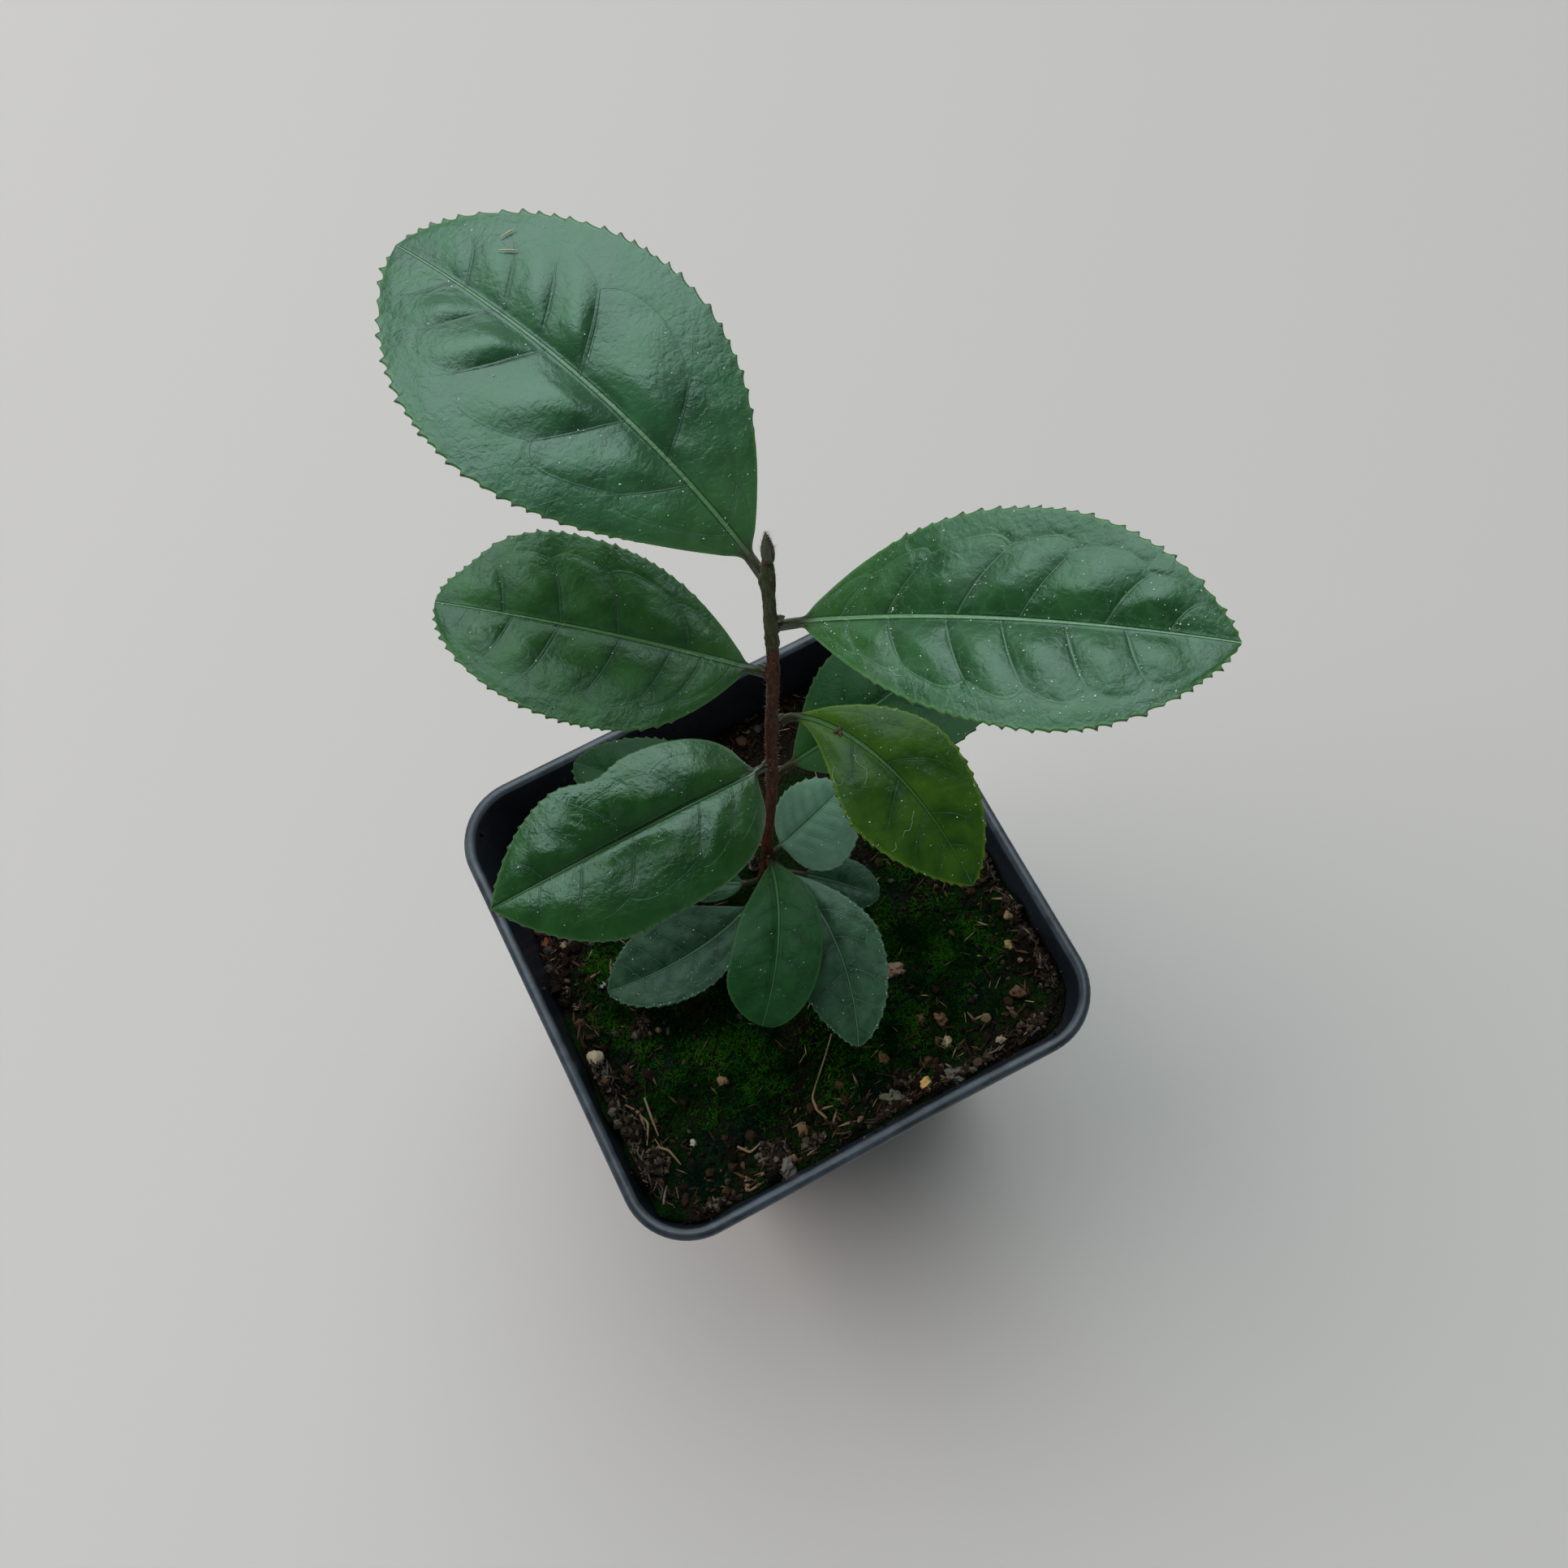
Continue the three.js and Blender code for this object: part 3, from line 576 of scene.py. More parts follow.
# %% Leaf table
HABIT = {
    "turn": 0, "settle": 0.8, "fold": 8, "cup": -0.1, "roll": 0, "shoulder": 1, "base_curve": 2, "tip_curve": 0.7,
    "veins": ([0.12, 0.27, 0.43, 0.6, 0.76], [0.14, 0.3, 0.46, 0.62, 0.78]), "lean": (0.45, 0.45),
    "swell": ([0.22], [0.22]), "loop": (0.62, 0.12), "rib": 0.1, "tooth": 0.4, "pitch": 1.5, "teeth_from": 0.16,
    "wave": 0.3, "pucker": 0.03, "soft": 0.5, "crest": 1.0, "dents": [], "look": "upper", "tone": 1.0,
}
LEAVES = [
    {
        "name": "leaf_top_left", "height": 219.5, "heading": 103, "turn": 14, "rise": 36, "droop": 41, "settle": 0.7,
        "stalk": 1.8, "length": 50, "left": 15.7, "right": 15, "widest": (0.56, 0.51), "base_curve": 1.95, "roll": -1,
        "veins": ([0.06, 0.19, 0.37, 0.59, 0.73, 0.84], [0.08, 0.257, 0.504, 0.61, 0.71, 0.81]),
        "lean": (0.5, 0.45), "swell": ([0.14, 0.42, 0.74, 0.74, 0.46, 0.22], [0.16, 0.5, 0.56, 0.36, 0.3, 0.16]),
        "loop": (0.56, 0.14), "rib": 0.16, "tooth": 0.54, "pitch": 1.7, "soft": 0.6, "pucker": 0.015, "crest": 0.66,
    },
    {
        "name": "leaf_top_right", "height": 209, "heading": -37, "turn": -2, "rise": 37, "droop": 35, "settle": 0.7,
        "stalk": 2.2, "length": 46.5, "left": 11.9, "right": 12.2, "widest": (0.55, 0.6), "base_curve": 2.1,
        "tip_curve": 0.85, "cup": -0.09, "fold": 12, "roll": 4, "look": "quilted", "tooth": 0.48, "rib": 0.14,
        "veins": ([0.11, 0.225, 0.39, 0.53, 0.715, 0.85], [0.06, 0.125, 0.23, 0.365, 0.49, 0.63, 0.76]),
        "lean": (0.5, 0.33), "loop": (0.64, 0.12),
        "swell": ([0.2, 0.44, 0.6, 0.65, 0.6, 0.44], [0.14, 0.36, 0.5, 0.58, 0.58, 0.5, 0.4]), "soft": 0.15,
        "pucker": 0.08,
    },
    {
        "name": "leaf_upper_left", "height": 194, "heading": 143, "turn": -1, "rise": 25, "droop": 27, "settle": 0.7,
        "stalk": 1.5, "length": 38, "left": 11.8, "right": 11.1, "widest": (0.46, 0.64), "base_curve": 2.4,
        "tip_curve": 0.6, "roll": -3, "look": "broad", "veins": ([0.15, 0.246, 0.407, 0.604, 0.75], [0.2, 0.42, 0.6, 0.78]),
        "lean": (0.22, 0.2), "swell": ([0.1, 0.2, 0.34, 0.34, 0.24], [0.28, 0.42, 0.42, 0.3]), "loop": (0.66, 0.1),
        "tooth": 0.42, "soft": 0.35, "pucker": 0.08, "crest": 0.75,
        "dents": [("right", 0.93, 0.06, 1.1)],
    },
    {
        "name": "leaf_middle_right", "height": 176, "heading": -4, "turn": -86, "rise": 60, "droop": 80, "settle": 0.3,
        "stalk": 2, "length": 33, "left": 8.3, "right": 9, "widest": (0.48, 0.51), "base_curve": 1.55, "shoulder": 1.2,
        "tip_curve": 0.8, "fold": 12, "cup": -0.15, "roll": 1, "look": "young", "swell": ([0.1, 0.24], [0.1, 0.26]),
        "tooth": 0.3, "soft": 0.7, "wave": 0.5, "pucker": 0.06,
        "veins": ([0.2, 0.42, 0.68, 0.82], [0.26, 0.5, 0.66, 0.8]), "lean": (0.6, 0.6),
    },
    {
        "name": "leaf_middle_left", "height": 160, "heading": -174, "turn": -6, "rise": 24, "droop": 32,
        "stalk": 1.5, "length": 41.5, "left": 12.9, "right": 10.6, "widest": (0.58, 0.6), "base_curve": 3.9,
        "shoulder": 0.55, "tip_curve": 0.95, "fold": 12, "cup": -0.24, "roll": -7, "look": "glossy", "tooth": 0.26,
        "lean": (0.45, 0.4), "veins": ([0.1, 0.23, 0.477, 0.666, 0.82], [0.25, 0.5, 0.64, 0.8]),
        "swell": ([0.22], [0.3]), "rib": -0.4, "soft": 1.0, "wave": 0.4, "pucker": 0.04,
        "dents": [("right", 0.5, 0.08, 1.3)], "teeth_from": 0.3,
    },
    {
        "name": "leaf_rear_right", "height": 154, "heading": -4, "turn": 22, "rise": 34, "droop": 50, "settle": 0.7,
        "stalk": 2, "length": 37, "left": 10.5, "right": 13.5, "widest": (0.45, 0.55), "tip_curve": 0.8, "fold": 14,
        "roll": -10, "look": "shaded", "swell": ([0.14], [0.14]), "soft": 0.9, "tone": 0.66,
    },
    {
        "name": "leaf_rear_left", "height": 118, "heading": 131, "rise": 26, "droop": 36,
        "stalk": 2.5, "length": 32, "left": 9, "right": 9.4, "widest": (0.5, 0.46), "look": "shaded", "tone": 0.6,
    },
    {
        "name": "leaf_low_front", "height": 110, "heading": -99, "turn": -36, "rise": 31, "droop": 38,
        "stalk": 0.8, "length": 30, "left": 7.6, "right": 7.8, "widest": (0.57, 0.75), "base_curve": 2.65,
        "tip_curve": 0.5, "roll": 1, "look": "shaded", "tooth": 0.1, "swell": ([0.13], [0.13]), "rib": 0.14,
        "tone": 0.76, "pucker": 0.06, "wave": 0.5,
    },
    {
        "name": "leaf_low_rear_right", "height": 107, "heading": 4, "turn": 14, "rise": 40, "droop": 34,
        "stalk": 1.8, "length": 15.5, "left": 6.6, "right": 9.6, "widest": (0.48, 0.4), "shoulder": 0.55,
        "tip_curve": 0.6, "fold": 6, "look": "pale", "swell": ([0.1], [0.1]), "rib": -0.15, "teeth_from": 0.1,
        "soft": 1.0, "pucker": 0.08, "wave": 0.5,
    },
    {
        "name": "leaf_low_front_right", "height": 106, "heading": -65, "turn": -51, "rise": 26, "droop": 38,
        "stalk": 4, "length": 33.5, "left": 7.6, "right": 8.3, "widest": (0.47, 0.56), "base_curve": 1.3,
        "look": "low", "tooth": 0.36, "swell": ([0.16], [0.16]), "tone": 1.45, "pucker": 0.06, "wave": 0.5,
    },
    {
        "name": "leaf_low_front_left", "height": 99, "heading": -114, "turn": -77, "rise": 22, "droop": 32,
        "settle": 0.35, "stalk": 7, "length": 29.5, "left": 7.2, "right": 9, "widest": (0.5, 0.5), "fold": 12,
        "roll": -1, "look": "low", "tooth": 0.36, "swell": ([0.13], [0.13]), "tone": 0.9, "pucker": 0.06,
        "wave": 0.5,
    },
    {
        "name": "leaf_low_right", "height": 98, "heading": -36, "turn": -10, "rise": 12, "droop": 24,
        "stalk": 6, "length": 14, "left": 4.8, "right": 4.8, "widest": (0.5, 0.5), "shoulder": 0.7,
        "tip_curve": 0.6, "fold": 6, "look": "low", "tooth": 0.16, "swell": ([0.06], [0.06]), "wave": 0.15,
    },
    {
        "name": "leaf_low_rear_left", "height": 94.5, "heading": 195, "turn": -75, "rise": 30, "droop": 34,
        "settle": 0.4, "stalk": 3, "length": 16, "left": 4.6, "right": 4.6, "widest": (0.5, 0.5), "shoulder": 0.8,
        "look": "low", "tooth": 0.16, "swell": ([0.06], [0.06]), "wave": 0.15,
    },
]

# %% [markdown]
# ## The shape of a leaf
#
# A leaf could be one curved plane with a picture of a leaf on it. Close up, though, a tea leaf is all
# relief: a toothed margin, a midrib in a trough, side veins that sink in and loop into each other before
# the margin, and a skin that swells like a quilt between them. So each leaf is swept as a closed, thin
# skin along its midrib, with rings close enough together to hold every tooth, and each point also keeps
# how far it is from the midrib, the veins and the margin, which its finish reads later.

# %% The midrib line
CURVE_STEPS = 512
STALK_RADIUS = 0.62
SOLID_STALK_RADIUS = 0.75
STALK_ROOT = 1.0
TIP_HALF = 0.22
BLADE_BLEND = 0.04
BLADE_THICKNESS = 0.36
MARGIN_THICKNESS = 0.18


def leaf_frame(leaf, distances):
    """Points and three directions along a leaf's midrib, at these distances from its start."""
    whole = leaf["stalk"] + leaf["length"]
    eased = np.linspace(0, 1, CURVE_STEPS + 1) ** leaf["settle"]
    turned = np.radians(leaf["heading"] + leaf["turn"] * eased)
    slope = np.radians(leaf["rise"] - leaf["droop"] * eased)
    along = np.stack([np.cos(turned) * np.cos(slope), np.sin(turned) * np.cos(slope), np.sin(slope)], axis=1)
    across = np.stack([-np.sin(turned), np.cos(turned), np.zeros_like(turned)], axis=1)
    heading = math.radians(leaf["heading"])
    clear = stem_radius(leaf["height"]) + GAP + SOLID_STALK_RADIUS * math.sin(math.radians(leaf["rise"]))
    start = stem_point(leaf["height"]) + clear * np.array([math.cos(heading), math.sin(heading), 0])
    steps = np.vstack([np.zeros(3), np.cumsum(along[:-1], axis=0)]) * whole / CURVE_STEPS
    line = start + steps
    at = np.linspace(0, whole, CURVE_STEPS + 1)
    pick = lambda table: np.stack([np.interp(distances, at, table[:, k]) for k in range(3)], axis=1)
    point = pick(line) + np.minimum(distances, 0)[:, None] * along[0]
    along, across = pick(along), pick(across)
    up = np.cross(along, across)
    place = (distances - leaf["stalk"]) / leaf["length"]
    on_blade = smoothstep(place, -BLADE_BLEND / 2, BLADE_BLEND)
    roll = (np.radians(leaf["roll"]) * on_blade)[:, None]
    side = across * np.cos(roll) + up * np.sin(roll)
    return point, along, side, np.cross(along, side), place, on_blade


# %% Outline and teeth
RING_STEP = 0.2


def blade_shape(leaf, place, widest):
    """How wide one half of the blade is, as a share of its widest."""
    place = clamp01(place)
    back = clamp01((widest - place) / widest)
    on = clamp01((place - widest) / (1 - widest))
    basal = (1 - back ** leaf["base_curve"]) ** leaf["shoulder"]
    apical = np.maximum(1 - on**2, 0) ** leaf["tip_curve"]
    return np.where(place < widest, basal, apical)


def half_width(leaf, side, place):
    half = leaf[side] * blade_shape(leaf, place, leaf["widest"][0 if side == "left" else 1])
    for where, middle, reach, depth in leaf["dents"]:
        if where == side:
            half = half - depth * np.exp(-(((place - middle) / reach) ** 2)) * (half > depth)
    return half


def teeth(arc, leaf, seed):
    """Saw teeth that lean towards the tip, from 0 between teeth to about 1 on each point."""
    rng = np.random.default_rng(seed)
    wander = 0.35 * np.sin(arc / 4.1 + seed) + 0.22 * np.sin(arc / 1.9 + 2 * seed)
    count = arc / leaf["pitch"] + wander
    share = count % 1
    heights = rng.uniform(0.45, 1.2, 200)[np.clip(count.astype(int), 0, 199)]
    profile = np.minimum((share / 0.8) ** 2.8, (1 - share) / 0.2) * heights
    reach = arc / arc[-1]
    first = leaf["teeth_from"]
    return profile * smoothstep(reach, first, first + 0.12) * (1 - smoothstep(reach, 0.975, 0.995))


def ring_places(leaf):
    """Distances for the rings: evenly spaced along the margin, so that every tooth gets its share."""
    place = np.linspace(0, 1, 4000)
    rows = [half_width(leaf, side, place) for side in ("left", "right")]
    lengths = [np.hypot(np.diff(place) * leaf["length"], np.diff(row)) for row in rows]
    arc = np.concatenate([[0], np.cumsum(sum(lengths) / 2)])
    count = int(arc[-1] / RING_STEP)
    return np.interp(np.linspace(0, arc[-1], count + 1), arc, place)


# %% Relief of the blade: veins, swelling and midrib
VEIN_GROOVE = 0.09
RIB_TROUGH = 0.22


def vein_numbers(leaf, index, place, across, share):
    """Which side vein a point lies on, as a running number, and the gap between veins there."""
    origins = np.array(leaf["veins"][index], float)
    gaps = np.diff(origins)
    ends = [origins[0] - gaps[0], *origins, origins[-1] + gaps[-1]]
    numbers = np.arange(-1, len(origins) + 1, dtype=float)
    bend = 0.3 * float(gaps.mean()) * clamp01(share / 0.8) ** 3
    origin = place - leaf["lean"][index] * across / leaf["length"] - bend
    number = np.interp(origin, ends, numbers)
    gap = np.interp(origin, ends, [gaps[0], *gaps, gaps[-1], gaps[-1]]) * leaf["length"]
    return number, gap


def blade_relief(leaf, place, share, across):
    """Height of the blade's skin over its plain form, and what the finish needs to know about it."""
    relief = np.zeros_like(across)
    lines = np.zeros(across.shape + (3,))
    loops = np.zeros_like(across)
    inside = smoothstep(place, 0.02, 0.16) * (1 - smoothstep(place, 0.82, 0.96))
    far, out = np.abs(share), np.abs(across)
    for index, mine in enumerate((share > 0, share <= 0)):
        number, gap = vein_numbers(leaf, index, place, out, far)
        between = number % 1
        leaned = between ** leaf["crest"]
        loop = leaf["loop"][0] + leaf["loop"][1] * np.sin(math.pi * between) ** 0.8
        to_vein = np.minimum(between, 1 - between) * gap
        to_loop = (far - loop) * out / np.maximum(far, 0.05)
        within = 1 - smoothstep(far, loop - 0.5, loop + 0.08)
        humped = 1 - np.abs(2 * leaned - 1) ** 1.9
        humped = lerp(humped, 0.5 - 0.5 * np.cos(2 * math.pi * leaned), leaf["soft"])
        swell = np.array(leaf["swell"][index])[np.clip(number.astype(int), 0, len(leaf["swell"][index]) - 1)]
        panel = swell * humped * smoothstep(out, 0.2, 3.4) * within
        groove = VEIN_GROOVE * np.exp(-((to_vein / 0.22) ** 2)) * (1 - smoothstep(far, loop, loop + 0.08))
        open_end = 1 - leaf["soft"] * smoothstep(place, 0.45, 0.7)
        groove = np.maximum(groove, VEIN_GROOVE * open_end * np.exp(-((to_loop / 0.4) ** 2)))
        depth = min(float(np.mean(leaf["swell"][index])) / 0.3, 1.0) * (1 - 0.75 * leaf["soft"])
        relief = np.where(mine, (panel - groove * depth) * inside, relief)
        found = np.stack([out, number, gap], axis=-1)
        lines = np.where(mine[..., None], found, lines)
        loops = np.where(mine, to_loop, loops)
    fade = 1 - 0.75 * smoothstep(place, 0.55, 1.0)
    relief = relief - RIB_TROUGH * np.exp(-((out / 0.85) ** 2)) * fade * inside
    width = 0.27 if leaf["rib"] > 0 else 0.2
    relief = relief + leaf["rib"] * np.exp(-((out / width) ** 2)) * fade * smoothstep(place, 0, 0.1)
    return relief, lines, loops


# %% The leaf itself


def leaf_columns(leaf):
    """Shares across the blade, from the left margin to the right one, closer together near both margins."""
    count = max(14, round(max(leaf["left"], leaf["right"]) / 0.34))
    even = np.linspace(0, 1, count + 1)
    half = even - 0.05 * np.sin(2 * math.pi * even)
    return np.concatenate([half[::-1], -half[1:]])


def leaf_skin(leaf, seed):
    """All rings of a leaf: first the upper skin from left to right, then the lower skin back again."""
    places = ring_places(leaf)
    stalk_rings = np.linspace(-STALK_ROOT, leaf["stalk"], max(5, int(leaf["stalk"] / 0.35) + 5))[:-1]
    distances = np.concatenate([stalk_rings, leaf["stalk"] + places * leaf["length"]])
    point, along, side, normal, place, on_blade = leaf_frame(leaf, distances)
    top = leaf_columns(leaf)
    under = top[::-1][::3]
    if under[-1] != top[0]:
        under = np.append(under, top[0])
    shares = np.concatenate([top, under])
    is_under = np.concatenate([np.zeros(len(top)), np.ones(len(under))])
    stalk_part = lerp(STALK_RADIUS, TIP_HALF, clamp01(place))
    outward, forward, point_mask = margins(leaf, place, stalk_part, seed)
    far = np.abs(shares)[None, :]
    left = (shares >= 0)[None, :]
    half = np.where(left, outward["left"][:, None], outward["right"][:, None])
    edge_share = smoothstep(far, 0.9, 1.0)
    ahead = np.where(left, forward["left"][:, None], forward["right"][:, None]) * edge_share
    tooth = np.where(left, point_mask["left"][:, None], point_mask["right"][:, None])
    plain = np.where(left, outward["plain_left"][:, None], outward["plain_right"][:, None])
    width = lerp(plain, half, edge_share)
    across = shares[None, :] * width
    rows = np.broadcast_to(place[:, None], across.shape)
    relief, lines, loops = blade_relief(leaf, rows, np.broadcast_to(shares[None, :], across.shape), across)
    fold = math.radians(leaf["fold"])
    lifted = far * plain * math.sin(fold) + leaf["cup"] * plain * far**2
    base = point[:, None] + side[:, None] * across[..., None]
    relief = relief + leaf["wave"] * noise_at(base, 11.0, seed * 3.7) * smoothstep(far * plain, 0.5, 6.0)
    relief = relief + 0.25 * leaf["wave"] * noise_at(base, 3.0, seed) * smoothstep(far * plain, 0.5, 3.0)
    relief = relief + 0.04 * leaf["wave"] * noise_at(base, 1.1, seed) * smoothstep(far * plain, 0.4, 1.2)
    puckers = np.abs(noise_at(base, 2.6, seed * 5.1)) + 0.4 * np.abs(noise_at(base, 1.3, seed * 2.3))
    relief = relief + leaf["pucker"] * puckers * smoothstep(far * plain, 0.4, 1.6) * (1 - smoothstep(far, 0.85, 1))
    thick = lerp(BLADE_THICKNESS, MARGIN_THICKNESS, far**3)
    ridge = 0.5 * np.exp(-((across / 0.6) ** 2)) * (1 - 0.8 * rows) + 0.12 * (thick > 0.2)
    face_up = np.where(is_under[None, :] > 0, -thick / 2 - ridge * smoothstep(rows, 0, 0.1), thick / 2)
    flat_across = across * math.cos(fold)
    flat_up = lifted + relief + face_up
    lower_turn = np.linspace(math.pi, 2 * math.pi, len(under) + 2)[1:-1]
    turn = np.concatenate([np.linspace(0, math.pi, len(top)), lower_turn])
    round_across = stalk_part[:, None] * np.cos(turn)
    round_up = stalk_part[:, None] * np.sin(turn)
    blend = on_blade[:, None]
    skin = point[:, None] + along[:, None] * (ahead * blend)[..., None]
    skin = skin + side[:, None] * lerp(round_across, flat_across, blend)[..., None]
    skin = skin + normal[:, None] * lerp(round_up, flat_up, blend)[..., None]
    to_edge = (1 - far) * width
    zones = np.stack([loops, to_edge, tooth * smoothstep(far, 0.94, 1.0)], axis=-1)
    parts = np.stack([np.broadcast_to(is_under, across.shape), 1 - blend * np.ones_like(across), rows], axis=-1)
    return skin, lines, zones, parts, len(top)


def margins(leaf, place, stalk_part, seed):
    """Half widths with and without teeth, how far each tooth leans on, and where the teeth are."""
    outward, forward, points = {}, {}, {}
    for index, side in enumerate(("left", "right")):
        blade = np.where(place > 0, half_width(leaf, side, place), 0)
        plain = np.hypot(blade, stalk_part)
        run = np.gradient(place * leaf["length"])
        rise = np.gradient(plain)
        arc = np.cumsum(np.hypot(run, rise) * (place > 0))
        tooth = teeth(arc, leaf, seed * 2 + index + 1) * (place > 0)
        size = np.maximum(np.hypot(run, rise), 1e-9)
        outward["plain_" + side] = plain
        outward[side] = plain + leaf["tooth"] * tooth * run / size
        forward[side] = leaf["tooth"] * tooth * (0.35 - rise / size)
        points[side] = clamp01(tooth)
    return outward, forward, points


# %% [markdown]
# ## Leaf finishes
#
# A leaf's green isn't one colour: the midrib is pale, the margin is yellower and each tooth ends in a small
# dark gland. The crowns of the swollen panels are painted lighter, a painted highlight, and narrow bands
# next to the midrib and the side veins are painted darker, a painted shade in the grooves. All of that
# follows the leaf's own lines, which the mesh keeps for each point, so one group turns them into masks.
# Each leaf's own material then mixes its greens with them. The older leaves near the soil are darker,
# bluer and duller.

# %% Leaf markings group


def build_leaf_markings():
    inputs = {"Vein Width": ("Float", 0.13), "Rib Width": ("Float", 0.19), "Net Scale": ("Float", 520.0)}
    names = ("Rib", "Rib Furrow Shade", "Veins", "Vein Furrow Shade", "Net", "Panel", "Margin", "Teeth", "Under", "Stalk", "Foot", "Cells")
    outputs = {name: "Float" for name in names}
    group, given, out = new_group("Leaf markings", inputs, outputs)
    lines = add_node(group, "Attribute", attribute_name="leaf_lines").outputs["Vector"]
    zones = add_node(group, "Attribute", attribute_name="leaf_zones").outputs["Vector"]
    parts = add_node(group, "Attribute", attribute_name="leaf_parts").outputs["Vector"]
    line = add_node(group, "SeparateXYZ", {0: lines}).outputs
    zone = add_node(group, "SeparateXYZ", {0: zones}).outputs
    part = add_node(group, "SeparateXYZ", {0: parts}).outputs
    rib_width = given.outputs["Rib Width"]
    vein_width = given.outputs["Vein Width"]
    narrowing = ramp_of(group, part[2], 0.0, 1.0, 1.3, 0.45)
    rib = math_of(group, "DIVIDE", line[0], math_of(group, "MULTIPLY", rib_width, narrowing))
    group.links.new(ramp_of(group, rib, 0.6, 1.0, 1.0, 0.0), out.inputs["Rib"])
    # A band next to the midrib, which the finish darkens as a painted shade in its trough.
    rib_furrow_shade = math_of(group, "MULTIPLY", ramp_of(group, rib, 0.9, 1.2), ramp_of(group, rib, 1.4, 2.0, 1.0, 0.0))
    group.links.new(rib_furrow_shade, out.inputs["Rib Furrow Shade"])
    between = math_of(group, "FRACT", line[1])
    other = math_of(group, "SUBTRACT", 1.0, between)
    to_vein = math_of(group, "MULTIPLY", math_of(group, "MINIMUM", between, other), line[2])
    vein_step = math_of(group, "DIVIDE", to_vein, vein_width)
    side_vein = ramp_of(group, vein_step, 0.4, 0.9, 1.0, 0.0)
    side_vein = math_of(group, "MULTIPLY", side_vein, ramp_of(group, zone[0], -0.3, 0.3, 1.0, 0.25))
    to_loop = math_of(group, "ABSOLUTE", zone[0])
    loop = ramp_of(group, math_of(group, "DIVIDE", to_loop, vein_width), 0.5, 1.1, 0.75, 0.0)
    loop = math_of(group, "MULTIPLY", loop, ramp_of(group, part[2], 0.5, 0.78, 1.0, 0.15))
    veins = math_of(group, "MAXIMUM", side_vein, loop)
    fade = math_of(group, "MULTIPLY", ramp_of(group, part[2], 0.02, 0.1), ramp_of(group, part[2], 0.86, 0.97, 1.0, 0.0))
    group.links.new(math_of(group, "MULTIPLY", veins, fade), out.inputs["Veins"])
    # A band next to each side vein, which the finish darkens as a painted shade in the groove.
    edges = math_of(group, "MULTIPLY", ramp_of(group, vein_step, 0.8, 1.2), ramp_of(group, vein_step, 1.5, 2.2, 1.0, 0.0))
    edges = math_of(group, "MULTIPLY", edges, ramp_of(group, zone[0], -3.6, -0.2, 1.0, 0.0))
    edges = math_of(group, "MULTIPLY", edges, ramp_of(group, line[0], 0.4, 2.4, 0.2, 1.0))
    edges = math_of(group, "MULTIPLY", edges, ramp_of(group, part[2], 0.45, 0.8, 1.0, 0.3))
    group.links.new(math_of(group, "MULTIPLY", edges, fade), out.inputs["Vein Furrow Shade"])
    place = add_node(group, "TexCoord").outputs["Object"]
    shake = add_node(group, "TexNoise", {"Vector": place, "Scale": 900.0}).outputs["Color"]
    shaken = add_node(group, "Mix", {0: 0.0009, 4: place, 5: shake}, data_type="VECTOR").outputs[1]
    cell_inputs = {"Vector": shaken, "Scale": given.outputs["Net Scale"]}
    cells = add_node(group, "TexVoronoi", cell_inputs, feature="DISTANCE_TO_EDGE").outputs["Distance"]
    group.links.new(ramp_of(group, cells, 0.0, 0.09, 1.0, 0.0), out.inputs["Net"])
    group.links.new(ramp_of(group, cells, 0.0, 0.32), out.inputs["Cells"])
    # The crowns of the swollen panels, and the strip past the vein loops, as a mask that the finish lightens: a painted
    # highlight.
    humped = math_of(group, "MULTIPLY", math_of(group, "MULTIPLY", between, other), 4.0)
    outer = ramp_of(group, zone[0], -2.0, 1.5, 0.0, 0.8)
    group.links.new(math_of(group, "MAXIMUM", humped, outer), out.inputs["Panel"])
    group.links.new(ramp_of(group, zone[1], 0.1, 0.55, 1.0, 0.0), out.inputs["Margin"])
    group.links.new(ramp_of(group, zone[2], 0.3, 0.65), out.inputs["Teeth"])
    group.links.new(part[0], out.inputs["Under"])
    group.links.new(ramp_of(group, part[2], 0.05, 0.34, 1.0, 0.0), out.inputs["Foot"])
    near_foot = math_of(group, "MULTIPLY", ramp_of(group, part[2], 0.0, 0.06, 1.0, 0.0), ramp_of(group, line[0], 0.5, 1.6, 1.0, 0.0))
    group.links.new(math_of(group, "MAXIMUM", part[1], near_foot), out.inputs["Stalk"])
    return group


leaf_markings = build_leaf_markings()

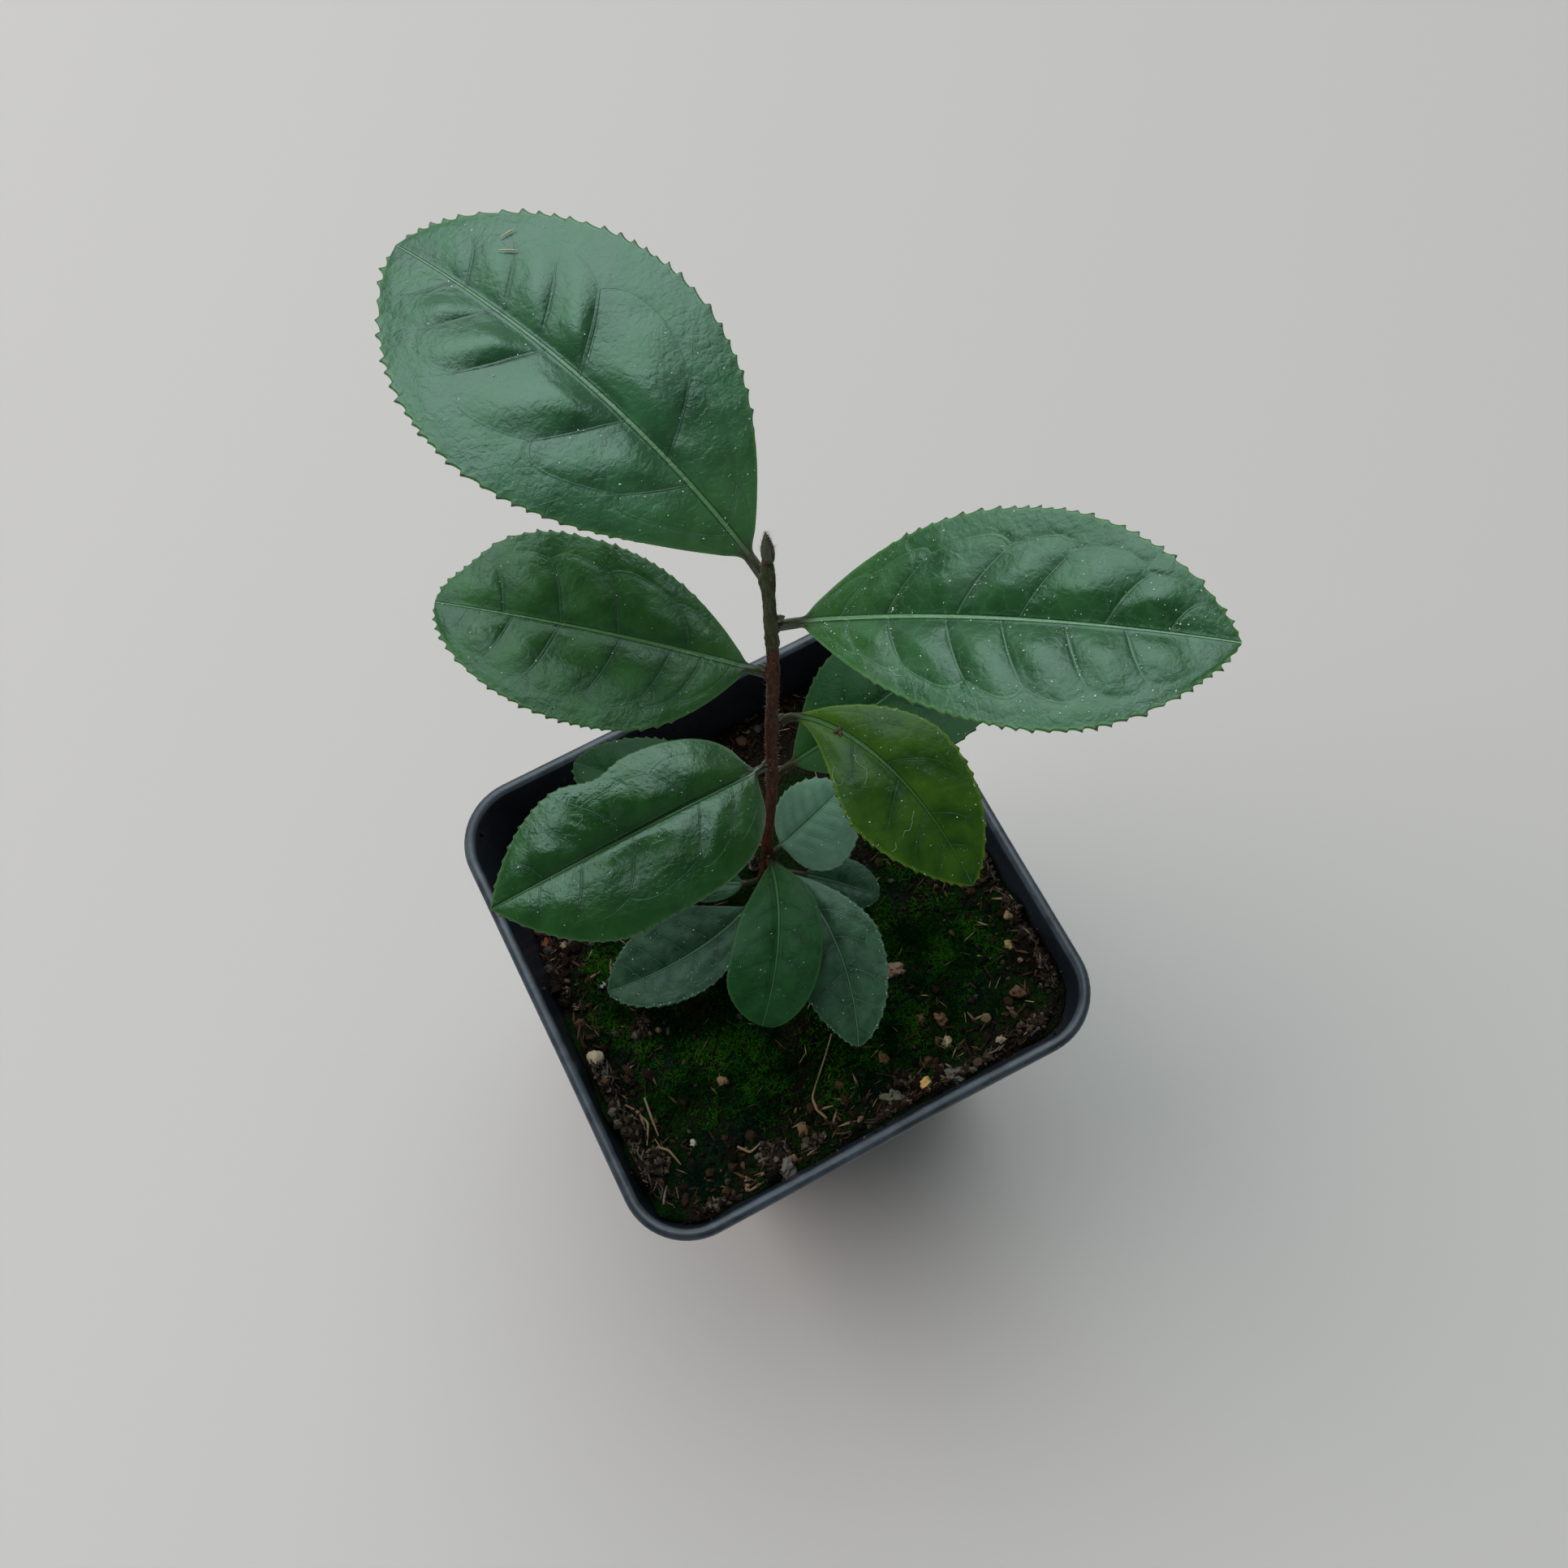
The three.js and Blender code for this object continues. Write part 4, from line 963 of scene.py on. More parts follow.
# %% Leaf materials
LOOKS = {
    "upper": {
        "deep": (0.006, 0.032, 0.009), "light": (0.021, 0.092, 0.032), "vein": (0.018, 0.060, 0.030),
        "rib": (0.085, 0.185, 0.065), "margin": (0.045, 0.125, 0.026), "gloss": 0.28, "film": 0.25, "shine": 0.68,
    },
    "quilted": {
        "deep": (0.005, 0.027, 0.006), "light": (0.017, 0.064, 0.020), "vein": (0.050, 0.115, 0.062),
        "rib": (0.130, 0.230, 0.125), "margin": (0.040, 0.110, 0.018), "gloss": 0.27, "film": 0.3, "shine": 0.55,
    },
    "broad": {
        "deep": (0.007, 0.034, 0.006), "light": (0.026, 0.096, 0.017), "vein": (0.036, 0.092, 0.046),
        "rib": (0.085, 0.200, 0.060), "margin": (0.040, 0.115, 0.018), "gloss": 0.3, "film": 0.2, "shine": 0.5,
    },
    "shaded": {
        "deep": (0.004, 0.026, 0.005), "light": (0.012, 0.056, 0.013), "vein": (0.012, 0.045, 0.018),
        "rib": (0.040, 0.105, 0.035), "margin": (0.030, 0.080, 0.022), "gloss": 0.34, "film": 0.1, "shine": 0.12,
    },
    "young": {
        "deep": (0.005, 0.027, 0.003), "light": (0.042, 0.098, 0.006), "vein": (0.026, 0.075, 0.016),
        "rib": (0.046, 0.115, 0.028), "margin": (0.085, 0.150, 0.010), "gloss": 0.3, "film": 0.05, "shine": 0.2,
    },
    "glossy": {
        "deep": (0.004, 0.028, 0.004), "light": (0.014, 0.066, 0.010), "vein": (0.010, 0.045, 0.014),
        "rib": (0.030, 0.100, 0.020), "margin": (0.035, 0.085, 0.022), "gloss": 0.21, "film": 0.1, "shine": 0.6,
    },
    "low": {
        "deep": (0.003, 0.016, 0.006), "light": (0.021, 0.058, 0.028), "vein": (0.030, 0.072, 0.040),
        "rib": (0.040, 0.095, 0.045), "margin": (0.032, 0.075, 0.042), "gloss": 0.34, "film": 0.25, "shine": 0.26, "blotch": 380.0,
    },
    # The pale look is mostly a painted sheen: its light greyish greens stand for the sky mirrored on a low leaf that
    # faces up.
    "pale": {
        "deep": (0.030, 0.066, 0.046), "light": (0.066, 0.115, 0.083), "vein": (0.055, 0.105, 0.075),
        "rib": (0.075, 0.140, 0.090), "margin": (0.080, 0.130, 0.100), "gloss": 0.5, "film": 0.3, "shine": 0.3,
    },
}
TOOTH_GLAND = (0.028, 0.024, 0.010, 1)
STALK_BROWN = (0.024, 0.016, 0.008, 1)
UNDERSIDE = (0.110, 0.190, 0.070, 1)
LEAF_DUST = (0.42, 0.46, 0.45, 1)
WAX_TINT = (0.78, 1.0, 0.90, 1)


def leaf_finish(name, look, tint):
    """One leaf's finish: its look's greens, shifted a little by its own tint."""
    material, tree, shader = new_material(name, look["gloss"], specular=look["shine"])
    shader.inputs["Specular Tint"].default_value = WAX_TINT
    marks = use_group(tree, leaf_markings)
    masks = use_group(tree, dust, Film_Scale=110.0, Film_Cover=look["film"], Speck_Scale=1100.0, Speck_Size=0.075)
    tinted = lambda key: tuple(c * t for c, t in zip(look[key], tint)) + (1,)
    blotch = noise_of(tree, look.get("blotch", 260.0), 5.0, 0.4)
    # The panel mask lightens the green on the swellings' crowns, a painted highlight, and a random blotch adds to it.
    lightness = math_of(tree, "ADD", math_of(tree, "MULTIPLY", marks["Panel"], 0.45), ramp_of(tree, blotch, 0.3, 0.75, 0.0, 0.6))
    skin = mix_of(tree, lightness, tinted("deep"), tinted("light"))
    skin = mix_of(tree, math_of(tree, "MULTIPLY", marks["Foot"], 0.4), skin, tinted("margin"))
    skin = mix_of(tree, math_of(tree, "MULTIPLY", marks["Margin"], 0.75), skin, tinted("margin"))
    skin = mix_of(tree, math_of(tree, "MULTIPLY", marks["Net"], 0.2), skin, tinted("vein"))
    skin = mix_of(tree, math_of(tree, "MULTIPLY", marks["Veins"], 0.6), skin, tinted("vein"))
    # The bands next to the side veins, patchy along them, and next to the midrib are mixed towards the deep green: a
    # painted shade in the grooves. The same mask also sinks the bump.
    uneven = math_of(tree, "MULTIPLY", marks["Vein Furrow Shade"], ramp_of(tree, blotch, 0.3, 0.65, 0.15, 0.75))
    shaded_furrows = math_of(tree, "MAXIMUM", marks["Rib Furrow Shade"], uneven)
    skin = mix_of(tree, math_of(tree, "MULTIPLY", shaded_furrows, 0.78), skin, tinted("deep"))
    skin = mix_of(tree, math_of(tree, "MULTIPLY", marks["Rib"], 0.85), skin, tinted("rib"))
    skin = mix_of(tree, math_of(tree, "MULTIPLY", marks["Under"], 0.8), skin, UNDERSIDE)
    skin = mix_of(tree, math_of(tree, "MULTIPLY", marks["Teeth"], 0.6), skin, TOOTH_GLAND)
    skin = mix_of(tree, math_of(tree, "MULTIPLY", masks["Film"], 0.22), skin, LEAF_DUST)
    skin = mix_of(tree, math_of(tree, "MULTIPLY", marks["Stalk"], 0.88), skin, STALK_BROWN)
    skin = mix_of(tree, math_of(tree, "MULTIPLY", masks["Specks"], 0.7), skin, (0.62, 0.66, 0.62, 1))
    tree.links.new(skin, shader.inputs["Base Color"])
    rough = math_of(tree, "ADD", ramp_of(tree, blotch, 0.2, 0.8, -0.05, 0.1), look["gloss"])
    rough = math_of(tree, "ADD", rough, math_of(tree, "MULTIPLY", masks["Film"], 0.25))
    tree.links.new(math_of(tree, "ADD", rough, math_of(tree, "MULTIPLY", marks["Under"], 0.2)), shader.inputs["Roughness"])
    leather = noise_of(tree, 1300.0, 4.0, 0.5)
    sunk = math_of(tree, "ADD", math_of(tree, "MULTIPLY", marks["Net"], 0.08), shaded_furrows)
    height = math_of(tree, "SUBTRACT", leather, math_of(tree, "MULTIPLY", sunk, 0.8))
    height = math_of(tree, "ADD", height, math_of(tree, "MULTIPLY", marks["Cells"], 0.06))
    height = math_of(tree, "ADD", height, math_of(tree, "MULTIPLY", marks["Veins"], 0.35))
    link_bump(tree, shader, height, 0.085, 0.9)
    return material


# %% [markdown]
# With the shape and the finish ready, the leaves are made in one loop.

# %% All leaves
OLD_LEAF_HEIGHT = 130
leaf_tops = {}

for number, entry in enumerate(LEAVES):
    leaf = {**HABIT, **entry}
    skin, lines, zones, parts, columns = leaf_skin(leaf, number + 1)
    shift = np.random.default_rng(number).uniform(0.92, 1.08, 3) * leaf["tone"]
    look = LOOKS[leaf["look"]]
    material = leaf_finish(leaf["name"] + "_finish", look, shift)
    faces = tube_faces(len(skin), skin.shape[1])
    blade = new_piece(leaf["name"].replace("leaf", "blade"), skin, faces, material, [leaf["name"]])
    set_values(blade, "leaf_lines", lines)
    set_values(blade, "leaf_zones", zones)
    set_values(blade, "leaf_parts", parts)
    leaf_tops[leaf["name"]] = (parts[:, 0, 2], leaf_columns(leaf), skin[:, :columns])
print("leaf triangles", sum(count for name, count in piece_count.items() if name.startswith("blade")))

# %% [markdown]
# ## The bark
#
# The young stem is reddish brown where it has turned woody and olive green in its newest piece, with a
# ring of scars where the scales of last season's bud fell off. It swells under every leaf. A plain cone
# would lose all of that, so the ring sweep is pushed out by noise, by the swellings and by the scar rings.

# %% Bark shape
BARK_SIDES = 30
BARK_STEP = 0.36
NODE_SWELL = 0.42
SCAR_RINGS = [(113.2, 0.16), (203.6, 0.14), (205.0, 0.1)]
GREEN_FROM = 203


def bark_ring_radius(height, angle):
    """How far the bark stands from the stem's line at this height and in this direction."""
    radius = stem_radius(height)
    for leaf in LEAVES:
        turn = angle - math.radians(leaf["heading"])
        facing = np.maximum(np.cos(turn), 0) ** 2
        radius = radius + NODE_SWELL * facing * np.exp(-(((height - leaf["height"] + 0.5) / 1.2) ** 2))
        radius = radius + 0.1 * np.exp(-(((height - leaf["height"]) / 1.8) ** 2))
    for at, size in SCAR_RINGS:
        radius = radius + size * np.exp(-(((height - at) / 0.35) ** 2))
    return radius * np.sqrt(1 - 0.35 * smoothstep(height, STEM_TOP - 1.1, STEM_TOP))


def round_rings(points, radii, angles):
    """Rings of points about a nearly upright line."""
    around = np.stack([np.cos(angles), np.sin(angles), np.zeros_like(angles)], axis=-1)
    return points[:, None] + radii[..., None] * around[None]


bark_heights = np.arange(STEM_SEAT, STEM_TOP + 0.1, BARK_STEP)
bark_angles = np.linspace(0, 2 * math.pi, BARK_SIDES, endpoint=False)
bark_radii = bark_ring_radius(bark_heights[:, None], bark_angles[None, :])
bark_line = stem_point(bark_heights)
bark_line[:, :2] += 0.12 * np.stack([np.sin(bark_heights / 7.3), np.cos(bark_heights / 9.1)], axis=1)
bark_rings = round_rings(bark_line, bark_radii, bark_angles)
stretched = bark_rings * [1, 1, 0.3]
bark_rough = 0.07 * noise_at(stretched, 0.5, 2.0) + 0.05 * noise_at(bark_rings, 0.9, 5.0)
bark_rings = round_rings(bark_line, bark_radii + bark_rough, bark_angles)


# %% Bark finish


def bark_finish():
    material, tree, shader = new_material("young_bark", 0.55, specular=0.16)
    place = add_node(tree, "TexCoord").outputs["Object"]
    masks = use_group(tree, dust, Film_Scale=180.0, Film_Cover=0.3, Speck_Scale=900.0, Speck_Size=0.1)
    height = add_node(tree, "SeparateXYZ", {0: place}).outputs["Z"]
    wobble = math_of(tree, "MULTIPLY", noise_of(tree, 350.0, 3.0, place=place), 0.01)
    level = math_of(tree, "ADD", height, wobble)
    green_share = ramp_of(tree, level, (GREEN_FROM + 3) * MM, (GREEN_FROM + 8) * MM)
    long_place = add_node(tree, "Mapping", {0: place, 3: (1, 1, 0.16)}).outputs[0]
    streaks = noise_of(tree, 2600.0, 3.0, 0.5, long_place)
    brown = mix_of(tree, ramp_of(tree, streaks, 0.3, 0.7), (0.015, 0.0042, 0.0022, 1), (0.072, 0.017, 0.0065, 1))
    green = mix_of(tree, ramp_of(tree, streaks, 0.35, 0.75), (0.018, 0.027, 0.008, 1), (0.055, 0.070, 0.024, 1))
    spots = ramp_of(tree, noise_of(tree, 1500.0, 2.0, place=place), 0.52, 0.62, 0.0, 0.7)
    green = mix_of(tree, spots, green, (0.050, 0.020, 0.012, 1))
    skin = mix_of(tree, green_share, brown, green)
    scar = ramp_of(tree, math_of(tree, "ABSOLUTE", math_of(tree, "SUBTRACT", level, 0.1175)), 0.0008, 0.0022, 0.8, 0.0)
    skin = mix_of(tree, scar, skin, (0.018, 0.012, 0.009, 1))
    low_dark = ramp_of(tree, level, 0.09, 0.118, 0.65, 0.0)
    skin = mix_of(tree, low_dark, skin, (0.030, 0.020, 0.014, 1))
    skin = mix_of(tree, math_of(tree, "MULTIPLY", masks["Film"], 0.16), skin, (0.16, 0.12, 0.10, 1))
    skin = mix_of(tree, math_of(tree, "MULTIPLY", masks["Specks"], 0.6), skin, (0.42, 0.36, 0.30, 1))
    tree.links.new(skin, shader.inputs["Base Color"])
    link_bump(tree, shader, streaks, 0.08, 0.8)
    return material


young_bark = bark_finish()
new_piece("stem_bark", bark_rings, tube_faces(*bark_rings.shape[:2]), young_bark, ["stem"])

# %% [markdown]
# Between each leaf's stalk and the stem sits a small side bud, which would grow into the next shoot. Each
# is a short pointed spindle, and all are joined in one piece.

# %% Side buds


def spindle(foot, direction, length, radius, rings=12, sides=12, swell=0.7, flat=1.0):
    """Rings of a pointed spindle that grows from a foot in a direction."""
    direction = np.asarray(direction, float) / np.linalg.norm(direction)
    side = np.cross(direction, [0.31, 0.17, 0.93])
    side /= np.linalg.norm(side)
    other = np.cross(direction, side)
    along = np.linspace(0, 1, rings)
    wide = radius * np.maximum(np.sin(math.pi * along**swell), 0.04)
    angles = np.linspace(0, 2 * math.pi, sides, endpoint=False)
    around = np.cos(angles)[:, None] * side + np.sin(angles)[:, None] * other * flat
    return np.asarray(foot)[None, None] + (along * length)[:, None, None] * direction + wide[:, None, None] * around


def join_shapes(shapes):
    """Points and faces of many ring shapes as one table."""
    points, faces, first = [], [], 0
    for shape in shapes:
        faces += tube_faces(shape.shape[0], shape.shape[1], first)
        points.append(shape.reshape(-1, 3))
        first += len(points[-1])
    return np.concatenate(points), faces


def side_bud(leaf):
    heading = math.radians(leaf["heading"])
    out = np.array([math.cos(heading), math.sin(heading), 0])
    foot = stem_point(leaf["height"] + 0.9) + out * (stem_radius(leaf["height"]) * 0.7)
    size = 0.8 if leaf["height"] > OLD_LEAF_HEIGHT else 0.55
    return spindle(foot, out * 0.75 + [0, 0, 1], 2.4 * size, 0.55 * size)


bud_points, bud_faces = join_shapes([side_bud(leaf) for leaf in LEAVES[1:]])
side_bud_finish, _, side_bud_shader = new_material("side_bud_green", 0.5)
side_bud_shader.inputs["Base Color"].default_value = (0.060, 0.060, 0.024, 1)
new_piece("side_buds", bud_points, bud_faces, side_bud_finish)

# %% [markdown]
# ## The tip bud
#
# The shoot ends in a slim bud wrapped in scales that overlap like a rolled cloth, olive green with brown
# edges. One spindle would look like a smooth peg, so three flattened, curved scales are wrapped around a
# core, each starting a little higher than the last.

# %% Tip bud
BUD_LENGTH = 6.4
BUD_RADIUS = 0.74
BUD_FOOT = 0.26
BUD_SCALES = [(0.0, 0.2, 1.0, 5.6), (2.3, 0.5, 0.93, 6.1), (4.2, 1.1, 0.86, 6.3)]


def bud_reach(share):
    """The bud's radius at a share of its length: full at its foot, drawn out to a point."""
    return BUD_RADIUS * np.maximum(np.sin(math.pi * lerp(BUD_FOOT, 1.0, share) ** 0.9), 0.05)


def bud_scale(turn, start, wide, end):
    """A scale of the bud: part of a spindle's skin, thickest in the middle, closed behind."""
    foot = stem_point(STEM_TOP) + [0, 0, GAP]
    along = np.linspace(0, 1, 26)
    height = lerp(start, end, along)
    share = clamp01(height / BUD_LENGTH)
    radius = wide * bud_reach(share)
    reach = 1.75 * np.sin(math.pi * lerp(0.22, 1.0, along)) ** 0.6 + 0.08
    turns = np.linspace(-1, 1, 15)
    angles = turn + reach[:, None] * turns[None]
    outer = radius[:, None] * (1 - 0.1 * np.abs(turns) ** 3)
    inner = outer * 0.86
    shape = lambda r, a: np.stack([r * np.cos(a), r * np.sin(a), np.broadcast_to(height[:, None], a.shape)], axis=-1)
    return foot + np.concatenate([shape(outer, angles), shape(inner, angles)[:, ::-1]], axis=1)


def bud_finish():
    material, tree, shader = new_material("bud_scales", 0.42)
    place = add_node(tree, "TexCoord").outputs["Object"]
    long_place = add_node(tree, "Mapping", {0: place, 3: (1, 1, 0.12)}).outputs[0]
    ribs = noise_of(tree, 3200.0, 2.0, place=long_place)
    height = add_node(tree, "SeparateXYZ", {0: place}).outputs["Z"]
    green = mix_of(tree, ramp_of(tree, ribs, 0.35, 0.7), (0.014, 0.022, 0.007, 1), (0.048, 0.062, 0.020, 1))
    brown = ramp_of(tree, noise_of(tree, 620.0, 3.0, place=place), 0.46, 0.6, 0.0, 0.8)
    skin = mix_of(tree, brown, green, (0.050, 0.026, 0.014, 1))
    tip = ramp_of(tree, height, 0.2285, 0.2312, 0.0, 0.8)
    tree.links.new(mix_of(tree, tip, skin, (0.100, 0.055, 0.030, 1)), shader.inputs["Base Color"])
    link_bump(tree, shader, ribs, 0.06, 0.7)
    return material


bud_shapes = [bud_scale(*scale) for scale in BUD_SCALES]
bud_shapes.append(spindle(stem_point(STEM_TOP) - [0, 0, 0.4], [0, 0, 1], BUD_LENGTH + 0.6, 0.62, 18, 14))
points, faces = join_shapes(bud_shapes)
new_piece("bud_wrap", points, faces, bud_finish(), ["tip_bud"])

# %% [markdown]
# ## The hairs
#
# Young tea shoots are silky: the bud's tip and the green part of the stem carry fine pale hairs. Blender's
# hair system would make them too, but it has to be set up apart from the mesh. Thin three-sided spikes,
# joined in one mesh, do the same at this size.

# %% Hairs on the shoot


def spikes(feet, directions, lengths, radii):
    """Thin three-sided spikes, one for each foot, as points and faces."""
    feet = np.asarray(feet, float)
    directions = directions / np.linalg.norm(directions, axis=1, keepdims=True)
    side = np.cross(directions, [0.27, 0.63, 0.73])
    side /= np.linalg.norm(side, axis=1, keepdims=True)
    other = np.cross(directions, side)
    corners = [feet + radii[:, None] * (math.cos(a) * side + math.sin(a) * other) for a in (0, 2.094, 4.189)]
    tips = feet + directions * lengths[:, None]
    points = np.stack([*corners, tips], axis=1).reshape(-1, 3)
    first = np.arange(len(feet))[:, None] * 4
    each = [np.hstack([first + a, first + b, first + c]) for a, b, c in ((0, 1, 3), (1, 2, 3), (2, 0, 3), (2, 1, 0))]
    return points, np.concatenate(each).tolist()


def shoot_hairs():
    rng = np.random.default_rng(71)
    count = 620
    height = rng.uniform(STEM_TOP - 75, STEM_TOP, count) ** 1.0
    angle = rng.uniform(0, 2 * math.pi, count)
    out = np.stack([np.cos(angle), np.sin(angle), rng.uniform(0.2, 1.2, count)], axis=1)
    feet = stem_point(height) + out * [1, 1, 0] * (stem_radius(height) - 0.05)[:, None]
    lengths = rng.uniform(0.25, 0.6, count)
    bud_count = 130
    share = rng.uniform(0.25, 1.0, bud_count)
    turn = rng.uniform(0, 2 * math.pi, bud_count)
    wide = 0.9 * bud_reach(share)
    bud_out = np.stack([0.5 * np.cos(turn), 0.5 * np.sin(turn), np.ones(bud_count)], axis=1)
    around = np.stack([wide * np.cos(turn), wide * np.sin(turn), GAP + share * BUD_LENGTH], axis=1)
    bud_feet = stem_point(STEM_TOP) + around
    room = np.minimum(1.2, 0.3 + STEM_TOP + GAP + BUD_LENGTH - bud_feet[:, 2])
    bud_lengths = rng.uniform(0.4, 1.0, bud_count) * np.maximum(room, 0.3)
    all_feet = np.concatenate([feet, bud_feet])
    all_lengths = np.concatenate([lengths, bud_lengths])
    return spikes(all_feet, np.concatenate([out, bud_out]), all_lengths, np.full(len(all_feet), 0.018))


hair_points, hair_faces = shoot_hairs()
hair_finish, _, hair_shader = new_material("silky_hair", 0.4)
hair_shader.inputs["Base Color"].default_value = (0.50, 0.44, 0.34, 1)
new_piece("shoot_hairs", hair_points, hair_faces, hair_finish)

# %% [markdown]
# ## What lies on the leaves
#
# Up close the leaves aren't clean. White grains of dried grit lie along the veins of the upper leaves, some
# curls of lint cling to the young leaf, which also has a brown nick, and two dry needles lie near the
# tip of the highest leaf. They could be painted, but real grains and threads catch the light and cast
# small shadows, so they're thin meshes set on the leaf's own skin.

# %% Places on a leaf
SPECK_COUNTS = {"leaf_top_right": 620, "leaf_top_left": 240, "leaf_upper_left": 110, "leaf_middle_left": 100}
SPECK_COUNTS |= {"leaf_middle_right": 90, "leaf_low_front": 60, "leaf_low_front_right": 90, "leaf_low_front_left": 90}
MARGIN_SPECKS = {"leaf_low_front_left": 90, "leaf_low_front_right": 110, "leaf_middle_right": 50, "leaf_low_right": 30}
LINT = [
    ("leaf_middle_right", [(0.27, -0.80), (0.29, -0.92), (0.33, -0.93), (0.35, -0.84), (0.34, -0.78)]),
    ("leaf_middle_right", [(0.31, -0.26), (0.32, -0.34), (0.35, -0.31), (0.38, -0.28), (0.41, -0.36), (0.42, -0.45)]),
    ("leaf_middle_right", [(0.63, -0.18), (0.65, -0.30), (0.66, -0.27), (0.68, -0.40), (0.67, -0.46), (0.69, -0.60)]),
    ("leaf_middle_right", [(0.69, -0.72), (0.71, -0.80), (0.71, -0.89)]),
    ("leaf_middle_left", [(0.635, -0.50), (0.632, -0.42), (0.62, -0.40), (0.60, -0.45), (0.596, -0.52)]),
    ("leaf_middle_left", [(0.16, -0.90), (0.17, -0.86), (0.165, -0.80)]),
    ("leaf_middle_left", [(0.19, -0.57), (0.20, -0.50), (0.195, -0.46)]),
    ("leaf_middle_left", [(0.228, 0.33), (0.235, 0.38), (0.23, 0.42)]),
    ("leaf_top_left", [(0.79, 0.70), (0.80, 0.73), (0.805, 0.70)]),
    ("leaf_top_right", [(0.26, -0.72), (0.28, -0.78), (0.29, -0.75)]),
]
LEAF_NEEDLES = [("leaf_top_left", (0.810, -0.69), 8, 2.2), ("leaf_top_left", (0.785, -0.50), -26, 2.4)]
LEAF_NICK = ("leaf_middle_right", (0.19, -0.03))


def on_leaf(name, place, share):
    """A point of a leaf's upper skin and the way it faces there."""
    rows, columns, skin = leaf_tops[name]
    row = int(np.clip(np.searchsorted(rows, place), 1, len(rows) - 2))
    column = int(np.clip(np.searchsorted(-columns, -share), 1, len(columns) - 2))
    along = skin[row + 1, column] - skin[row - 1, column]
    across = skin[row, column - 1] - skin[row, column + 1]
    facing = np.cross(along, across)
    return skin[row, column], facing / np.linalg.norm(facing)


# %% Grains, lint, needles and the nick


def plain_white(name, colour):
    material, _, shader = new_material(name, 0.6, specular=0.3)
    shader.inputs["Base Color"].default_value = (*colour, 1)
    return material


def leaf_grains():
    """Small flat grains: many near the side veins, where water dries last."""
    rng = np.random.default_rng(91)
    feet, sizes = [], []
    for name, count in SPECK_COUNTS.items():
        entry = {**HABIT, **next(leaf for leaf in LEAVES if leaf["name"] == name)}
        for _ in range(count):
            side = int(rng.integers(0, 2))
            share = rng.uniform(0.04, 0.95)
            place = rng.uniform(0.06, 0.94)
            if rng.uniform() < 0.45:
                half = entry["right" if side else "left"] * share / entry["length"]
                place = rng.choice(entry["veins"][side]) + entry["lean"][side] * half + rng.normal(0, 0.006)
            if 0.03 < place < 0.95:
                spot, facing = on_leaf(name, place, -share if side else share)
                feet.append(spot + facing * 0.03)
                sizes.append(0.026 * 4.0 ** (rng.uniform() ** 2.4))
    for name, count in MARGIN_SPECKS.items():
        for _ in range(count):
            share = rng.uniform(0.955, 0.99) * (1 if rng.uniform() < 0.5 else -1)
            spot, facing = on_leaf(name, rng.uniform(0.25, 0.97), share)
            feet.append(spot + facing * 0.03)
            sizes.append(rng.uniform(0.03, 0.09))
    sizes = np.array(sizes)[:, None] * rng.uniform(0.4, 1.6, (len(feet), 3))
    points, faces = copies(lump_shape(1), np.array(feet), sizes, turned(rng, len(feet)))
    new_piece("leaf_grains", points, faces, plain_white("dried_grit", (0.42, 0.48, 0.43)))


def leaf_lint():
    threads = []
    for name, path in LINT:
        line = [spot + facing * 0.1 for spot, facing in (on_leaf(name, *place) for place in path)]
        threads.append(bent_rod(line, [0.019] * (len(line) - 1) + [0.012], 5))
    points, faces = join_shapes(threads)
    new_piece("leaf_lint", points, faces, plain_white("lint", (0.36, 0.40, 0.32)))


def leaf_needles():
    needles = []
    for name, place, turn, length in LEAF_NEEDLES:
        spot, facing = on_leaf(name, *place)
        way = np.array([math.cos(math.radians(turn)), math.sin(math.radians(turn)), 0.0])
        way = way - facing * (way @ facing)
        foot = spot + facing * 0.28 - way * length / 2
        needles.append(spindle(foot, way, length, 0.085, 10, 7, swell=1.0))
    points, faces = join_shapes(needles)
    new_piece("leaf_needles", points, faces, plain_white("dry_needle", (0.45, 0.38, 0.22)))


def leaf_nick():
    rng = np.random.default_rng(17)
    name, place = LEAF_NICK
    spot, facing = on_leaf(name, *place)
    shapes = []
    for _ in range(9):
        way = rng.normal(size=3)
        way = way - facing * (way @ facing) * 0.7
        shapes.append(spindle(spot + facing * 0.1, way, rng.uniform(0.5, 1.0), rng.uniform(0.14, 0.26), 7, 6))
    points, faces = join_shapes(shapes)
    new_piece("leaf_nick", points, faces, plain_white("dead_spot", (0.070, 0.042, 0.026)))


# %% [markdown]
# ## The old wood
#
# Close behind the stem stands the dead stub of an older shoot, grey and peeling. Dead wood cracks along
# its grain, so its rings are pushed by noise that is drawn out upwards, and its top is broken off unevenly.

# %% Old wood
OLD_FOOT = (2.0, 11.4)
OLD_TOP = (1.9, 10.8)
OLD_HEIGHT = 103
OLD_RADII = (1.0, 0.85)


def old_wood_rings():
    foot = np.array([*OLD_FOOT, float(mix_top(*OLD_FOOT)) - SEAT_DEPTH])
    top = np.array([*OLD_TOP, OLD_HEIGHT])
    share = np.linspace(0, 1, 60)
    angles = np.linspace(0, 2 * math.pi, 28, endpoint=False)
    line = foot + share[:, None] * (top - foot)
    radii = lerp(OLD_RADII[0], OLD_RADII[1], share)[:, None] * np.ones(len(angles))
    rings = round_rings(line, radii, angles)
    cracks = noise_at(rings * [1, 1, 0.14], 0.42, 8.0)
    rings = round_rings(line, radii + 0.16 * cracks + 0.08 * noise_at(rings, 1.1, 1.0), angles)
    jagged = 0.9 * noise_at(rings[-1] * [1, 1, 0], 0.8, 4.0) - 0.4
    rings[-6:, :, 2] += jagged * np.linspace(0, 1, 6)[:, None]
    return rings


